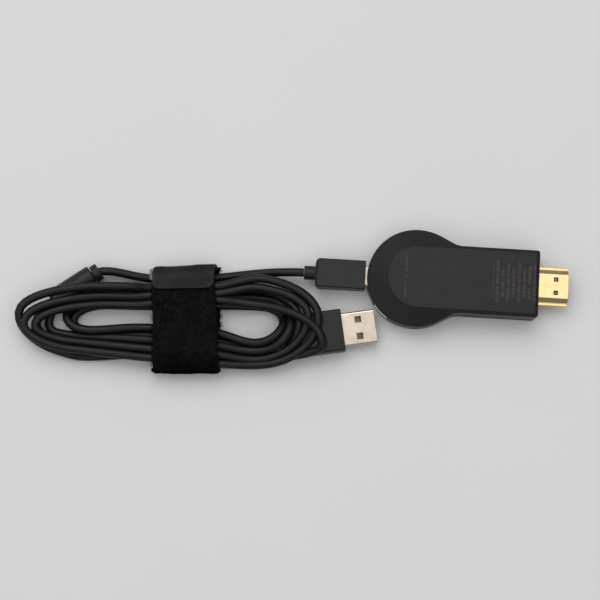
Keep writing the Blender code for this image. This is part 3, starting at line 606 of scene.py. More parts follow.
@dataclass(frozen=True)
class Section:
    """A closed flat section with rounded corners, counter-clockwise, in metres."""

    corners: tuple[Corner, ...]
    steps: int = 6

    @classmethod
    def rectangle(cls, width: float, height: float, radius: float, steps: int = 6) -> "Section":
        """A rounded rectangle about the origin.

        Args:
            width: its size along X.
            height: its size along Y.
            radius: the radius of its corners.
            steps: the steps in each corner.

        Returns:
            The section.
        """
        places = ((1, -1), (1, 1), (-1, 1), (-1, -1))
        corners = tuple(Corner(x * width / 2, y * height / 2, radius) for x, y in places)
        return cls(corners, steps)

    def points(self, inset: float = 0.0) -> list[Vector]:
        """Walks the section.

        Args:
            inset: how far its edges are moved inwards first.

        Returns:
            The same number of points whatever the inset is.
        """
        count = len(self.corners)
        places = [Vector((corner.x, corner.y)) for corner in self.corners]
        moved = []
        bends = []
        for index, place in enumerate(places):
            ahead = (places[(index + 1) % count] - place).normalized()
            behind = (place - places[index - 1]).normalized()
            left_ahead = Vector((-ahead.y, ahead.x))
            left_behind = Vector((-behind.y, behind.x))
            bend = behind.cross(ahead)
            spread = 1.0 + left_ahead.dot(left_behind)
            moved.append(place + (left_ahead + left_behind) / spread * inset)
            bends.append(bend)
        walked = []
        least = 0.02 * MM
        for index, place in enumerate(moved):
            radius = max(self.corners[index].radius - (inset if bends[index] > 0 else -inset), least)
            back = (moved[index - 1] - place).normalized()
            ahead = (moved[(index + 1) % count] - place).normalized()
            half = back.angle(ahead) / 2
            centre = place + (back + ahead).normalized() * radius / math.sin(half)
            first = place + back * radius / math.tan(half)
            last = place + ahead * radius / math.tan(half)
            start = math.atan2(first.y - centre.y, first.x - centre.x)
            turn = (last - centre).angle_signed(first - centre)
            walked += arc((centre.x, centre.y), radius, start, start + turn, self.steps)
        return walked


def ring_across(points: Sequence[Vector], along: float) -> list[Vector]:
    """A flat section stood up in the YZ plane at one place along X."""
    return [Vector((along, point.x, point.y)) for point in points]


def ring_level(points: Sequence[Vector], height: float) -> list[Vector]:
    """A flat outline laid level at one height."""
    return [Vector((point.x, point.y, height)) for point in points]


def piece_from(
    name: str,
    vertices: Sequence[Sequence[float]],
    faces: Sequence[Sequence[int]],
    finish: Finish,
    place: Matrix | None = None,
    sharp: float = 32.0,
    even: bool = True,
) -> bpy.types.Object:
    """Makes a smooth-shaded piece in the frame's own coordinates.

    Args:
        name: the piece's name.
        vertices: its points.
        faces: its faces, as indices into the points.
        finish: what it is made of.
        place: moves the points into the frame.
        sharp: edges that turn by more than this many degrees stay sharp.
        even: large faces keep their flat shading beside rounded edges.

    Returns:
        The piece.
    """
    mesh = bpy.data.meshes.new(name)
    mesh.from_pydata([tuple(point) for point in vertices], [], [tuple(face) for face in faces])
    shape = bmesh.new()
    shape.from_mesh(mesh)
    bmesh.ops.recalc_face_normals(shape, faces=shape.faces)
    shape.to_mesh(mesh)
    shape.free()
    if place is not None:
        mesh.transform(place)
    mesh.shade_smooth()
    mesh.set_sharp_from_angle(angle=math.radians(sharp))
    mesh.materials.append(finish.material())
    piece = bpy.data.objects.new(name, mesh)
    bpy.context.scene.collection.objects.link(piece)
    if even:
        piece.modifiers.new("even_shading", "WEIGHTED_NORMAL").keep_sharp = True
    return piece


def skin(rings: Rings, looped: bool = False) -> tuple[list[Vector], list[tuple[int, ...]]]:
    """One closed skin through rings of equal length.

    Args:
        rings: the rings, in order.
        looped: the last ring joins the first; otherwise both ends are closed flat.

    Returns:
        Its points and its faces.
    """
    size = len(rings[0])
    pairs = list(zip(range(len(rings)), range(1, len(rings))))
    if looped:
        pairs.append((len(rings) - 1, 0))
    faces: list[tuple[int, ...]] = []
    for low, high in pairs:
        for index in range(size):
            after = (index + 1) % size
            faces.append(
                (low * size + index, low * size + after, high * size + after, high * size + index)
            )
    if not looped:
        faces.append(tuple(range(size)))
        faces.append(tuple(range((len(rings) - 1) * size, len(rings) * size)))
    return [point for ring in rings for point in ring], faces


def loft(
    name: str,
    bodies: Sequence[Rings],
    finish: Finish,
    place: Matrix | None = None,
    looped: bool = False,
    sharp: float = 32.0,
) -> bpy.types.Object:
    """A piece of one or more closed skins.

    Args:
        name: the piece's name.
        bodies: the rings of each skin.
        finish: what it is made of.
        place: moves the points into the frame.
        looped: each skin's last ring joins its first.
        sharp: edges that turn by more than this many degrees stay sharp.

    Returns:
        The piece.
    """
    vertices: list[Vector] = []
    faces: list[tuple[int, ...]] = []
    for rings in bodies:
        points, sides = skin(rings, looped)
        faces += [tuple(index + len(vertices) for index in face) for face in sides]
        vertices += points
    return piece_from(name, vertices, faces, finish, place, sharp)


def eased_run(
    start: float, end: float, at_start: float, at_end: float, steps: int = 4
) -> list[tuple[float, float]]:
    """The stations along a bar whose ends are rounded over.

    Args:
        start: where it starts.
        end: where it ends.
        at_start: the rounding's radius at its start.
        at_end: the rounding's radius at its end.
        steps: the steps in each rounding.

    Returns:
        Each station's place along the bar and how far its section is drawn in.
    """
    turns = [step / steps * math.pi / 2 for step in range(steps + 1)]
    opening = [(start + at_start * (1 - math.cos(t)), at_start * (1 - math.sin(t))) for t in turns]
    closing = [(end - at_end * (1 - math.cos(t)), at_end * (1 - math.sin(t))) for t in turns]
    return (opening if at_start else [(start, 0.0)]) + (
        closing[::-1] if at_end else [(end, 0.0)]
    )


def block(
    centre: Sequence[float],
    size: Sequence[float],
    corner: float,
    ease: tuple[float, float],
    steps: int = 4,
) -> list[list[Vector]]:
    """The rings of a bar along X with rounded long edges and rounded ends.

    Args:
        centre: its middle.
        size: its sizes along X, Y and Z.
        corner: the radius of its long edges.
        ease: the radius round its first end and round its last.
        steps: the steps in each rounding.

    Returns:
        The rings.
    """
    section = Section.rectangle(size[1], size[2], corner, steps)
    run = eased_run(-size[0] / 2, size[0] / 2, *ease, steps)
    middle = Vector(centre)
    return [
        [point + middle for point in ring_across(section.points(inset), along)]
        for along, inset in run
    ]


def turned(
    name: str,
    profile: Sequence[tuple[float, float]],
    finish: Finish,
    start: Vector,
    direction: Vector,
    sides: int = 56,
    looped: bool = False,
) -> bpy.types.Object:
    """A turned piece.

    Args:
        name: the piece's name.
        profile: the distance along the axis and the radius of each ring.
        finish: what it is made of.
        start: where the axis starts.
        direction: where it points.
        sides: the points in each ring.
        looped: the profile is a closed loop, as round a bore.

    Returns:
        The piece.
    """
    turn = direction.to_track_quat("X", "Z").to_matrix().to_4x4()
    place = Matrix.Translation(start) @ turn
    rings = []
    for along, radius in profile:
        angles = [2 * math.pi * side / sides for side in range(sides)]
        rings.append([Vector((along, radius * math.cos(a), radius * math.sin(a))) for a in angles])
    return loft(name, [rings], finish, place, looped)


def cut(target: bpy.types.Object, *cutters: bpy.types.Object) -> None:
    """Cuts pieces out of another, and removes the cutters.

    Args:
        target: the piece that is cut.
        cutters: closed pieces to take away.
    """
    target.modifiers.clear()
    for cutter in cutters:
        cutter.modifiers.clear()
        modifier = target.modifiers.new(cutter.name, "BOOLEAN")
        modifier.operation = "DIFFERENCE"
        modifier.solver = "EXACT"
        modifier.object = cutter
    settle_modifiers(target)
    for cutter in cutters:
        bpy.data.objects.remove(cutter, do_unlink=True)


def settle_modifiers(piece: bpy.types.Object) -> None:
    """Makes a piece's modifiers part of its mesh."""
    graph = bpy.context.evaluated_depsgraph_get()
    mesh = bpy.data.meshes.new_from_object(piece.evaluated_get(graph))
    piece.modifiers.clear()
    piece.data = mesh
    mesh.shade_smooth()
    mesh.set_sharp_from_angle(angle=math.radians(32.0))
    piece.modifiers.new("even_shading", "WEIGHTED_NORMAL").keep_sharp = True


def ribbon(path: Sequence[tuple[float, float]], width: float) -> list[Vector]:
    """The outline of a narrow ribbon along a flat path.

    Args:
        path: the ribbon's middle line.
        width: how wide it is.

    Returns:
        One side out and the other side back.
    """
    line = [Vector(point) for point in path]
    sides: tuple[list[Vector], list[Vector]] = ([], [])
    for index, point in enumerate(line):
        ahead = line[min(index + 1, len(line) - 1)] - point
        behind = point - line[max(index - 1, 0)]
        ahead = (ahead if ahead.length else behind).normalized()
        behind = (behind if behind.length else ahead).normalized()
        across = Vector((-(ahead + behind).y, (ahead + behind).x)).normalized()
        reach = width / 2 / max(across.dot(Vector((-ahead.y, ahead.x))), 0.4)
        sides[0].append(point + across * reach)
        sides[1].append(point - across * reach)
    return sides[1] + sides[0][::-1]


def tubes(paths: np.ndarray, radii: np.ndarray, sides: int = 3) -> tuple[np.ndarray, list[tuple]]:
    """Many thin closed tubes at once.

    Args:
        paths: tubes x points x 3, the line that each tube follows.
        radii: the radius of each tube at each of its points.
        sides: the sides of each tube.

    Returns:
        The vertices and the faces of them all.
    """
    count, length, _ = paths.shape
    along = np.gradient(paths, axis=1)
    along /= np.linalg.norm(along, axis=2, keepdims=True) + 1e-12
    helper = np.where(np.abs(along[..., 2:3]) < 0.8, [[[0.0, 0.0, 1.0]]], [[[1.0, 0.0, 0.0]]])
    first = np.cross(along, helper)
    first /= np.linalg.norm(first, axis=2, keepdims=True) + 1e-12
    second = np.cross(along, first)
    angles = 2 * np.pi * np.arange(sides) / sides
    rings = (
        paths[:, :, None, :]
        + radii[:, :, None, None]
        * (
            np.cos(angles)[None, None, :, None] * first[:, :, None, :]
            + np.sin(angles)[None, None, :, None] * second[:, :, None, :]
        )
    )
    faces: list[tuple] = []
    for tube in range(count):
        base = tube * length * sides
        for ring in range(length - 1):
            low = base + ring * sides
            for side in range(sides):
                after = (side + 1) % sides
                faces.append((low + side, low + after, low + sides + after, low + sides + side))
        faces.append(tuple(range(base, base + sides)))
        faces.append(tuple(range(base + (length - 1) * sides, base + length * sides)))
    return rings.reshape(-1, 3), faces


# ---------------------------------------------------------------------------------------------
# What every sub-assembly does
# ---------------------------------------------------------------------------------------------


@dataclass
class Assembly:
    """A sub-assembly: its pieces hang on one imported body."""

    body: Body = field(default=Body.PLAYER, init=False)
    pieces: list[bpy.types.Object] = field(default_factory=list, init=False)

    def hang(
        self, piece: bpy.types.Object, slot: Slot, *nodes: str, body: Body | None = None
    ) -> bpy.types.Object:
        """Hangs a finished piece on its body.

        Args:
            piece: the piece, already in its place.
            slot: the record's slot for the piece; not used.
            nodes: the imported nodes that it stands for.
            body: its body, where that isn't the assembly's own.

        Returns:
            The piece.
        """
        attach(piece, (body or self.body).value)
        if nodes:
            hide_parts(*nodes)
        self.pieces.append(piece)
        return piece

    def dress(self, finish: Finish, *nodes: str) -> None:
        """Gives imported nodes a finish.

        Args:
            finish: the finish.
            nodes: the nodes' names.
        """
        for node in nodes:
            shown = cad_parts[node]
            for slot in shown.material_slots:
                slot.material = finish.material()
            self.pieces.append(shown)

    def build(self) -> None:
        """Builds and dresses every piece."""
        raise NotImplementedError


# ---------------------------------------------------------------------------------------------
# The studio
# ---------------------------------------------------------------------------------------------


@dataclass
class Studio:
    """The plain pale floor, the soft light all round and the camera that looks nearly straight down."""

    aim: Point = (-59.5 * MM, -9.25 * MM, 0.0)
    distance: float = 600.0 * MM
    azimuth: float = math.radians(0.51)
    elevation: float = math.radians(82.3)
    roll: float = math.radians(2.85)
    lens: float = 99.7
    sensor: float = 36.0
    floor_size: float = 6.0
    floor_gap: float = 0.05 * MM
    sky_axis: Point = (-0.12, 0.14, 1.0)
    sky_edge: float = 0.02
    sky_low: float = 0.06
    sky_high: float = 1.02
    key_power: float = 4.6
    key_size: float = 0.9
    key_place: Point = (-0.35, 0.62, 1.15)

    def build(self) -> None:
        """Sets up the floor, the sky, the key light and the camera."""
        self.lay_floor()
        self.light_sky()
        self.hang_key()
        self.stand_camera()

    def lay_floor(self) -> None:
        """Lays the floor just under the object."""
        half = self.floor_size / 2
        corners = [(x * half, y * half, -self.floor_gap) for x, y in ((-1, -1), (1, -1), (1, 1), (-1, 1))]
        piece_from("floor_sheet", corners, [(0, 1, 2, 3)], FLOOR_SHEET)

    def light_sky(self) -> None:
        """Makes a soft sky, bright overhead and a little behind, and dim near the horizon."""
        world = bpy.data.worlds.new("soft_sky")
        bpy.context.scene.world = world
        world.use_nodes = True
        tree = world.node_tree
        place = tree.nodes.new("ShaderNodeTexCoord")
        facing = tree.nodes.new("ShaderNodeVectorMath")
        facing.operation = "DOT_PRODUCT"
        facing.inputs[1].default_value = Vector(self.sky_axis).normalized()
        ramp = tree.nodes.new("ShaderNodeMapRange")
        ramp.interpolation_type = "SMOOTHSTEP"
        for name, value in (
            ("From Min", self.sky_edge),
            ("From Max", 1.0),
            ("To Min", self.sky_low),
            ("To Max", self.sky_high),
        ):
            ramp.inputs[name].default_value = value
        tree.links.new(place.outputs["Generated"], facing.inputs[0])
        tree.links.new(facing.outputs["Value"], ramp.inputs["Value"])
        tree.links.new(ramp.outputs["Result"], tree.nodes["Background"].inputs["Strength"])
        tree.nodes["Background"].inputs["Color"].default_value = (1.0, 0.995, 0.99, 1.0)

    def hang_key(self) -> None:
        """Hangs a large square lamp behind and to the left of the object, aimed at it."""
        lamp = bpy.data.lights.new("key_lamp", "AREA")
        lamp.shape = "SQUARE"
        lamp.size = self.key_size
        lamp.energy = self.key_power
        holder = bpy.data.objects.new("key_lamp", lamp)
        holder.location = self.key_place
        toward = Vector(self.aim) - Vector(self.key_place)
        holder.rotation_euler = toward.to_track_quat("-Z", "Y").to_euler()
        bpy.context.scene.collection.objects.link(holder)

    def stand_camera(self) -> None:
        """Stands the camera over the object, rolled a little about its own axis."""
        camera = bpy.data.cameras.new("camera")
        camera.lens = self.lens
        camera.sensor_width = self.sensor
        camera.clip_start = 0.01
        level = Vector((math.cos(self.azimuth), math.sin(self.azimuth), 0.0))
        ahead = Vector((-level.y, level.x, 0.0))
        back = Vector((0.0, 0.0, math.sin(self.elevation))) - ahead * math.cos(self.elevation)
        upright = back.cross(level)
        right = math.cos(self.roll) * level + math.sin(self.roll) * upright
        up = back.cross(right)
        turn = Matrix((right, up, back)).transposed().to_4x4()
        holder = bpy.data.objects.new("camera", camera)
        holder.matrix_world = Matrix.Translation(Vector(self.aim) + back * self.distance) @ turn
        bpy.context.scene.collection.objects.link(holder)
        bpy.context.scene.camera = holder
        bpy.context.scene.view_settings.view_transform = "Standard"


# ---------------------------------------------------------------------------------------------
# The power lead's cord
# ---------------------------------------------------------------------------------------------


@dataclass(frozen=True)
class StrapRoom:
    """The room inside the strap's band, in millimetres, in a frame turned with the strap."""

    centre: tuple[float, float] = (-100.65, -18.7)
    turn: float = math.radians(3.35)
    half_width: float = 13.0
    near: float = -18.3
    far: float = 16.2
    low: float = 1.65
    high: float = 7.9


@dataclass(frozen=True)
class HankTurn:
    """One turn of the hank in the order that the cord runs it, in millimetres.

    A run under the strap is its Y at either edge of the strap and its height; the far run comes
    back the other way. A bend is where it starts, its furthest point and where it ends.
    """

    near_run: Point
    right_bend: tuple[Point, Point, Point]
    far_run: Point
    left_bend: tuple[Point, Point, Point]


@dataclass
class PowerCord(Assembly):
    """The lead's cord: from the small plug through the strap and the choke, then coiled in a hank.

    The hank's turns start on listed guides. They then settle under their own weight and
    stiffness, a diameter apart, on the floor and round the choke and the charger plug. All its
    lengths are in millimetres until the cord is made.
    """

    diameter: float = 3.1
    step: float = 2.2
    rounds: int = 600
    last_rounds: int = 160
    low: float = 3.2
    high: float = 6.35
    strap_left: float = -113.5
    strap_right: float = -88.5
    clearance: float = 0.05
    port: Point = (-36.0, 0.0, 5.4)
    small_plug_end: float = -55.0
    small_plug_side: float = 5.2
    small_plug_top: float = 8.9
    choke_near: Point = (-134.2, -5.3, 4.05)
    choke_far: Point = (-148.0, -15.6, 4.05)
    choke_radius: float = 4.0
    collar: float = 2.6
    charger_tip: Point = (-32.05, -17.6, 3.85)
    charger_turn: float = math.radians(10.9)
    charger_shell: float = 11.75
    charger_body: Point = (16.0, 15.0, 7.6)
    relief: tuple[float, float] = (4.5, 5.4)
    room: StrapRoom = StrapRoom()

    lead_in: tuple[Point, ...] = (
        (-58.7, 0.0, 5.4),
        (-60.2, 0.0, 5.4),
        (-63.5, -0.1, 5.0),
        (-69.0, -0.35, 4.3),
        (-78.0, -0.9, 4.0),
        (-89.8, -3.6, 4.0),
        (-101.0, -4.4, 3.9),
        (-113.5, -5.4, 3.9),
        (-122.0, -5.0, 3.9),
        (-128.6, -4.0, 4.0),
    )
    after_choke: tuple[Point, ...] = (
        (-150.4, -17.6, 3.9),
        (-153.0, -21.0, 3.0),
        (-152.9, -25.2, 2.2),
        (-149.0, -28.6, 1.7),
        (-141.0, -29.9, 1.6),
        (-130.0, -29.9, 1.6),
    )
    tail: tuple[Point, ...] = ((-79.0, -27.6, 1.7), (-73.0, -26.0, 2.4))

    def __post_init__(self) -> None:
        """Works out the choke's and the charger plug's axes and lays the turns' guides."""
        self.body = Body.LEAD
        self.radius = self.diameter / 2
        near, far = np.array(self.choke_near), np.array(self.choke_far)
        self.choke_length = float(np.linalg.norm(far - near))
        self.choke_axis = (far - near) / self.choke_length
        self.charger_axis = np.array(
            [math.cos(self.charger_turn), math.sin(self.charger_turn), 0.0]
        )
        self.turns = self.hank_turns()

    def hank_turns(self) -> tuple[HankTurn, ...]:
        """The six turns' guides, from the first to be wound to the last."""
        low, high = self.low, self.high
        return (
            HankTurn(
                (-29.1, -29.4, low),
                ((-76.0, -31.2, 2.0), (-50.6, -25.8, 9.8), (-78.0, -12.9, 9.0)),
                (-11.9, -14.7, high),
                ((-117.0, -15.2, 6.0), (-153.4, -24.6, 6.5), (-137.0, -29.6, 4.8)),
            ),
            HankTurn(
                (-30.7, -31.4, high),
                ((-76.0, -32.4, 4.8), (-56.2, -16.0, 9.0), (-77.0, -6.6, 6.4)),
                (-9.4, -11.7, high),
                ((-117.0, -12.2, 6.6), (-157.2, -24.0, 7.6), (-136.0, -32.6, 6.4)),
            ),
            HankTurn(
                (-33.8, -34.6, high),
                ((-76.0, -34.4, 4.8), (-52.6, -17.0, 9.2), (-76.0, -3.4, 6.8)),
                (-6.7, -8.8, high),
                ((-121.0, -9.2, 9.2), (-159.2, -20.6, 7.0), (-134.0, -34.4, 1.7)),
            ),
            HankTurn(
                (-32.3, -32.8, low),
                ((-76.0, -33.0, 1.7), (-59.2, -18.0, 7.2), (-77.0, -6.9, 2.6)),
                (-7.3, -8.8, low),
                ((-124.0, -9.8, 4.6), (-151.4, -22.3, 3.5), (-134.0, -27.6, 4.4)),
            ),
            HankTurn(
                (-27.6, -28.3, high),
                ((-77.0, -30.0, 4.6), (-60.7, -18.5, 6.6), (-79.0, -9.4, 2.0)),
                (-10.3, -11.9, low),
                ((-122.0, -12.8, 2.2), (-143.4, -20.6, 1.7), (-131.0, -25.3, 4.4)),
            ),
            HankTurn(
                (-24.5, -25.2, high),
                ((-80.0, -27.8, 4.8), (-62.6, -19.0, 5.4), (-80.0, -12.4, 2.0)),
                (-13.2, -14.9, low),
                ((-121.0, -15.2, 2.2), (-141.8, -20.4, 4.8), (-129.0, -26.2, 1.8)),
            ),
        )

    def run(self, lane: Point, backwards: bool = False) -> list[Point]:
        """The three guides of a run under the strap.

        Args:
            lane: the Y that it starts at, the Y that it ends at, and its height.
            backwards: the run goes towards -X.

        Returns:
            The guides.
        """
        ends = (self.strap_left, self.strap_right)
        first, last = reversed(ends) if backwards else ends
        start, end, height = lane
        middle = ((first + last) / 2, (start + end) / 2, height)
        return [(first, start, height), middle, (last, end, height)]

    def round_end(self, start: Point, extreme: Point, end: Point, steps: int = 4) -> list[Point]:
        """The guides round an end of the hank, along two quarter ellipses.

        Args:
            start: where the bend starts, heading along X.
            extreme: its furthest point, heading along Y.
            end: where it ends, heading back along X.
            steps: the steps in each quarter.

        Returns:
            The guides.
        """
        guides = [start]
        for step in range(1, steps + 1):
            angle = step / steps * math.pi / 2
            height = start[2] + (extreme[2] - start[2]) * step / steps
            x = start[0] + (extreme[0] - start[0]) * math.sin(angle)
            guides.append((x, extreme[1] + (start[1] - extreme[1]) * math.cos(angle), height))
        for step in range(1, steps + 1):
            angle = step / steps * math.pi / 2
            height = extreme[2] + (end[2] - extreme[2]) * step / steps
            x = end[0] + (extreme[0] - end[0]) * math.cos(angle)
            guides.append((x, extreme[1] + (end[1] - extreme[1]) * math.sin(angle), height))
        return guides

    def guides(self) -> np.ndarray:
        """All the route's guides, from the small plug to the charger plug."""
        near, far = np.array(self.choke_near), np.array(self.choke_far)
        entry = near - self.choke_axis * (self.collar + 0.3)
        shell_to_end = self.charger_shell + self.charger_body[0] + 0.6 + self.relief[0]
        end = np.array(self.charger_tip) - self.charger_axis * shell_to_end
        route = [*self.lead_in, entry, near, (near + far) / 2, far]
        route += self.after_choke
        for turn in self.turns:
            route += self.run(turn.near_run)
            route += self.round_end(*turn.right_bend)
            route += self.run(turn.far_run, backwards=True)
            route += self.round_end(*turn.left_bend)
        route += self.run((-26.0, -26.6, self.low))
        route += self.tail
        route += [end - self.charger_axis * 4.0, end - self.charger_axis * 1.5, end]
        return np.array([tuple(point) for point in route], float)

    def smooth(self, guides: np.ndarray) -> np.ndarray:
        """Even points along a Catmull-Rom curve through the guides."""
        pieces = 14
        t = (np.arange(pieces) / pieces)[:, None]
        ends = (2 * guides[:1] - guides[1:2], guides, 2 * guides[-1:] - guides[-2:-1])
        padded = np.vstack(ends)
        fine = []
        for index in range(1, len(padded) - 2):
            a, b, c, d = padded[index - 1 : index + 3]
            curve = 2 * b + (c - a) * t + (2 * a - 5 * b + 4 * c - d) * t**2
            fine.append(0.5 * (curve + (3 * b - a - 3 * c + d) * t**3))
        line = np.vstack([*fine, guides[-1:]])
        along = np.concatenate([[0.0], np.cumsum(np.linalg.norm(np.diff(line, axis=0), axis=1))])
        at = np.linspace(0.0, along[-1], round(along[-1] / self.step) + 1)
        return np.stack([np.interp(at, along, line[:, axis]) for axis in range(3)], axis=1)

    def settle(self, line: np.ndarray) -> np.ndarray:
        """Lets the cord lie down.

        Args:
            line: the points of its centreline as it is laid.

        Returns:
            The points at rest.
        """
        home = line.copy()
        line = line.copy()
        step = float(np.linalg.norm(np.diff(line, axis=0), axis=1).mean())
        free = self.freedom(line)
        pairs = np.triu_indices(len(line), 5)
        close = pairs
        for count in range(self.rounds + self.last_rounds):
            closing = count >= self.rounds
            if count % 12 == 0:
                apart = np.linalg.norm(line[pairs[0]] - line[pairs[1]], axis=1)
                near = apart < 2 * self.diameter
                close = (pairs[0][near], pairs[1][near])
            if not closing:
                line[:, 2] -= 0.02 * free
                line[:, :2] += (home[:, :2] - line[:, :2]) * 0.02 * free[:, None]
            for _ in range(2):
                self.straighten(line, free, 0.3)
            for _ in range(2):
                self.part_strands(line, free, close)
            for _ in range(2):
                self.keep_length(line, free, step)
            self.keep_in_strap(line, free)
            self.keep_off_pieces(line, free)
        return line

    def freedom(self, line: np.ndarray) -> np.ndarray:
        """1 for each point that may move and 0 for those in a plug or in the choke."""
        free = np.ones(len(line))
        free[:4] = 0.0
        free[-4:] = 0.0
        start = np.array(self.choke_near) - self.choke_axis * (self.collar + 0.6)
        first = int(np.linalg.norm(line - start, axis=1).argmin())
        last = int(np.linalg.norm(line - np.array(self.choke_far), axis=1).argmin())
        free[first : last + 1] = 0.0
        self.choke_last = last
        return free

    def straighten(self, line: np.ndarray, free: np.ndarray, stiffness: float) -> None:
        """Evens the cord's bends out, as its stiffness does."""
        bend = np.zeros_like(line)
        bend[1:-1] = (line[:-2] + line[2:]) / 2 - line[1:-1]
        change = np.zeros_like(line)
        change[1:-1] = bend[1:-1] - (bend[:-2] + bend[2:]) / 2
        line += change * stiffness * free[:, None]

    def part_strands(
        self, line: np.ndarray, free: np.ndarray, close: tuple[np.ndarray, np.ndarray]
    ) -> None:
        """Pushes strands that lie in each other apart, to a diameter."""
        gap = self.diameter * 1.01
        first, second = close
        away = line[first] - line[second]
        apart = np.linalg.norm(away, axis=1) + 1e-9
        hit = apart < gap
        first, second, away, apart = first[hit], second[hit], away[hit], apart[hit]
        share = free[first] + free[second] + 1e-9
        push = away / apart[:, None] * (0.8 * (gap - apart) / share)[:, None]
        moves = np.zeros_like(line)
        counts = np.zeros(len(line))
        np.add.at(moves, first, push * free[first, None])
        np.add.at(moves, second, -push * free[second, None])
        np.add.at(counts, first, 1)
        np.add.at(counts, second, 1)
        line += moves / np.sqrt(np.maximum(counts, 1))[:, None]

    def keep_length(self, line: np.ndarray, free: np.ndarray, step: float) -> None:
        """Draws neighbouring points back to their distance."""
        along = np.diff(line, axis=0)
        length = np.linalg.norm(along, axis=1)
        share = free[:-1] + free[1:] + 1e-9
        pull = along * (0.5 * (length - step) / length / share)[:, None]
        line[:-1] += pull * free[:-1, None]
        line[1:] -= pull * free[1:, None]

    def keep_in_strap(self, line: np.ndarray, free: np.ndarray) -> None:
        """Keeps the cord on the floor and inside the strap."""
        room = self.room
        cosine, sine = math.cos(room.turn), math.sin(room.turn)
        offset = line[:, :2] - np.array(room.centre)
        across = np.abs(offset @ np.array([cosine, sine]))
        along = offset @ np.array([-sine, cosine])
        ramp = np.clip((room.half_width + 4.5 - across) / 4.5, 0.0, 1.0)
        floor = self.radius + self.clearance + ramp * (room.low - self.clearance)
        line[:, 2] = np.where(free > 0, np.maximum(line[:, 2], floor), line[:, 2])
        inside = across < room.half_width
        line[inside, 2] = np.minimum(line[inside, 2], room.high - self.radius)
        held = np.clip(along, room.near + self.radius, room.far - self.radius)
        shift = np.where(inside, held - along, 0.0) * free
        line[:, 0] -= sine * shift
        line[:, 1] += cosine * shift

    def keep_off_pieces(self, line: np.ndarray, free: np.ndarray) -> None:
        """Keeps the cord off the choke, the charger plug with its relief, and the small plug."""
        order = np.arange(len(line))
        near = np.array(self.choke_near)
        self.keep_off_bar(
            line,
            free * (order >= self.choke_last + 4),
            near - self.choke_axis * self.collar,
            self.choke_axis * (self.choke_length + self.collar),
            self.choke_radius,
        )
        back = self.charger_shell + self.charger_body[0]
        start = np.array(self.charger_tip) - self.charger_axis * back
        relief = -self.charger_axis * (self.relief[0] + 0.5)
        self.keep_off_bar(line, free * (order < len(line) - 14), start, relief, self.relief[1] / 2)
        offset = line - np.array(self.charger_tip)
        along = offset @ self.charger_axis
        across = np.abs(offset @ np.array([-self.charger_axis[1], self.charger_axis[0], 0.0]))
        top = self.charger_tip[2] + self.charger_body[2] / 2 + self.radius + self.clearance
        over = (along < -self.charger_shell) & (along > -back - self.radius * 0.7)
        over &= (across < (self.charger_body[1] + self.radius) / 2) & (line[:, 2] < top)
        line[:, 2] += np.where(over, (top - line[:, 2]) * 0.5, 0.0) * free
        edge = -self.small_plug_side - self.radius
        beside = (line[:, 0] > self.small_plug_end - self.radius) & (line[:, 1] > edge)
        beside &= (line[:, 2] < self.small_plug_top + self.radius) & (order > 20)
        line[:, 1] += np.where(beside, (edge - line[:, 1]) * 0.5, 0.0) * free

    def keep_off_bar(
        self, line: np.ndarray, free: np.ndarray, start: np.ndarray, reach: np.ndarray, radius: float
    ) -> None:
        """Pushes the cord out of a round bar.

        Args:
            line: the cord's points, moved in place.
            free: 1 for each point that may move.
            start: the bar's first end.
            reach: from its first end to its other end.
            radius: the bar's radius.
        """
        share = np.clip((line - start) @ reach / (reach @ reach), 0.0, 1.0)
        away = line - start - share[:, None] * reach
        apart = np.linalg.norm(away, axis=1) + 1e-9
        need = radius + self.radius + self.clearance
        push = np.maximum(need - apart, 0.0) * free
        line += away / apart[:, None] * push[:, None]

    def build(self) -> None:
        """Settles the cord and makes it as one round curve."""
        self.line = self.settle(self.smooth(self.guides())) * MM
        curve = bpy.data.curves.new("power_cord", "CURVE")
        curve.dimensions = "3D"
        curve.bevel_depth = self.radius * MM
        curve.bevel_resolution = 6
        curve.use_fill_caps = True
        spline = curve.splines.new("POLY")
        spline.points.add(len(self.line) - 1)
        spline.points.foreach_set(
            "co", np.hstack([self.line, np.ones((len(self.line), 1))]).ravel()
        )
        spline.use_smooth = True
        curve.materials.append(CORD_JACKET.material())
        self.cord = bpy.data.objects.new("power_cord", curve)
        bpy.context.scene.collection.objects.link(self.cord)
        self.hang(self.cord, Slot.CORD, "cord_lead_in", "cord_hank")

    def declare(self, fitted: Sequence[bpy.types.Object]) -> None:
        """Args:
            fitted: its plugs, reliefs, choke and strap; not used.
        """
        length = float(np.linalg.norm(np.diff(self.line, axis=0), axis=1).sum())
        log.info("cord: %.3f m long", length)


# ---------------------------------------------------------------------------------------------
# The player
# ---------------------------------------------------------------------------------------------


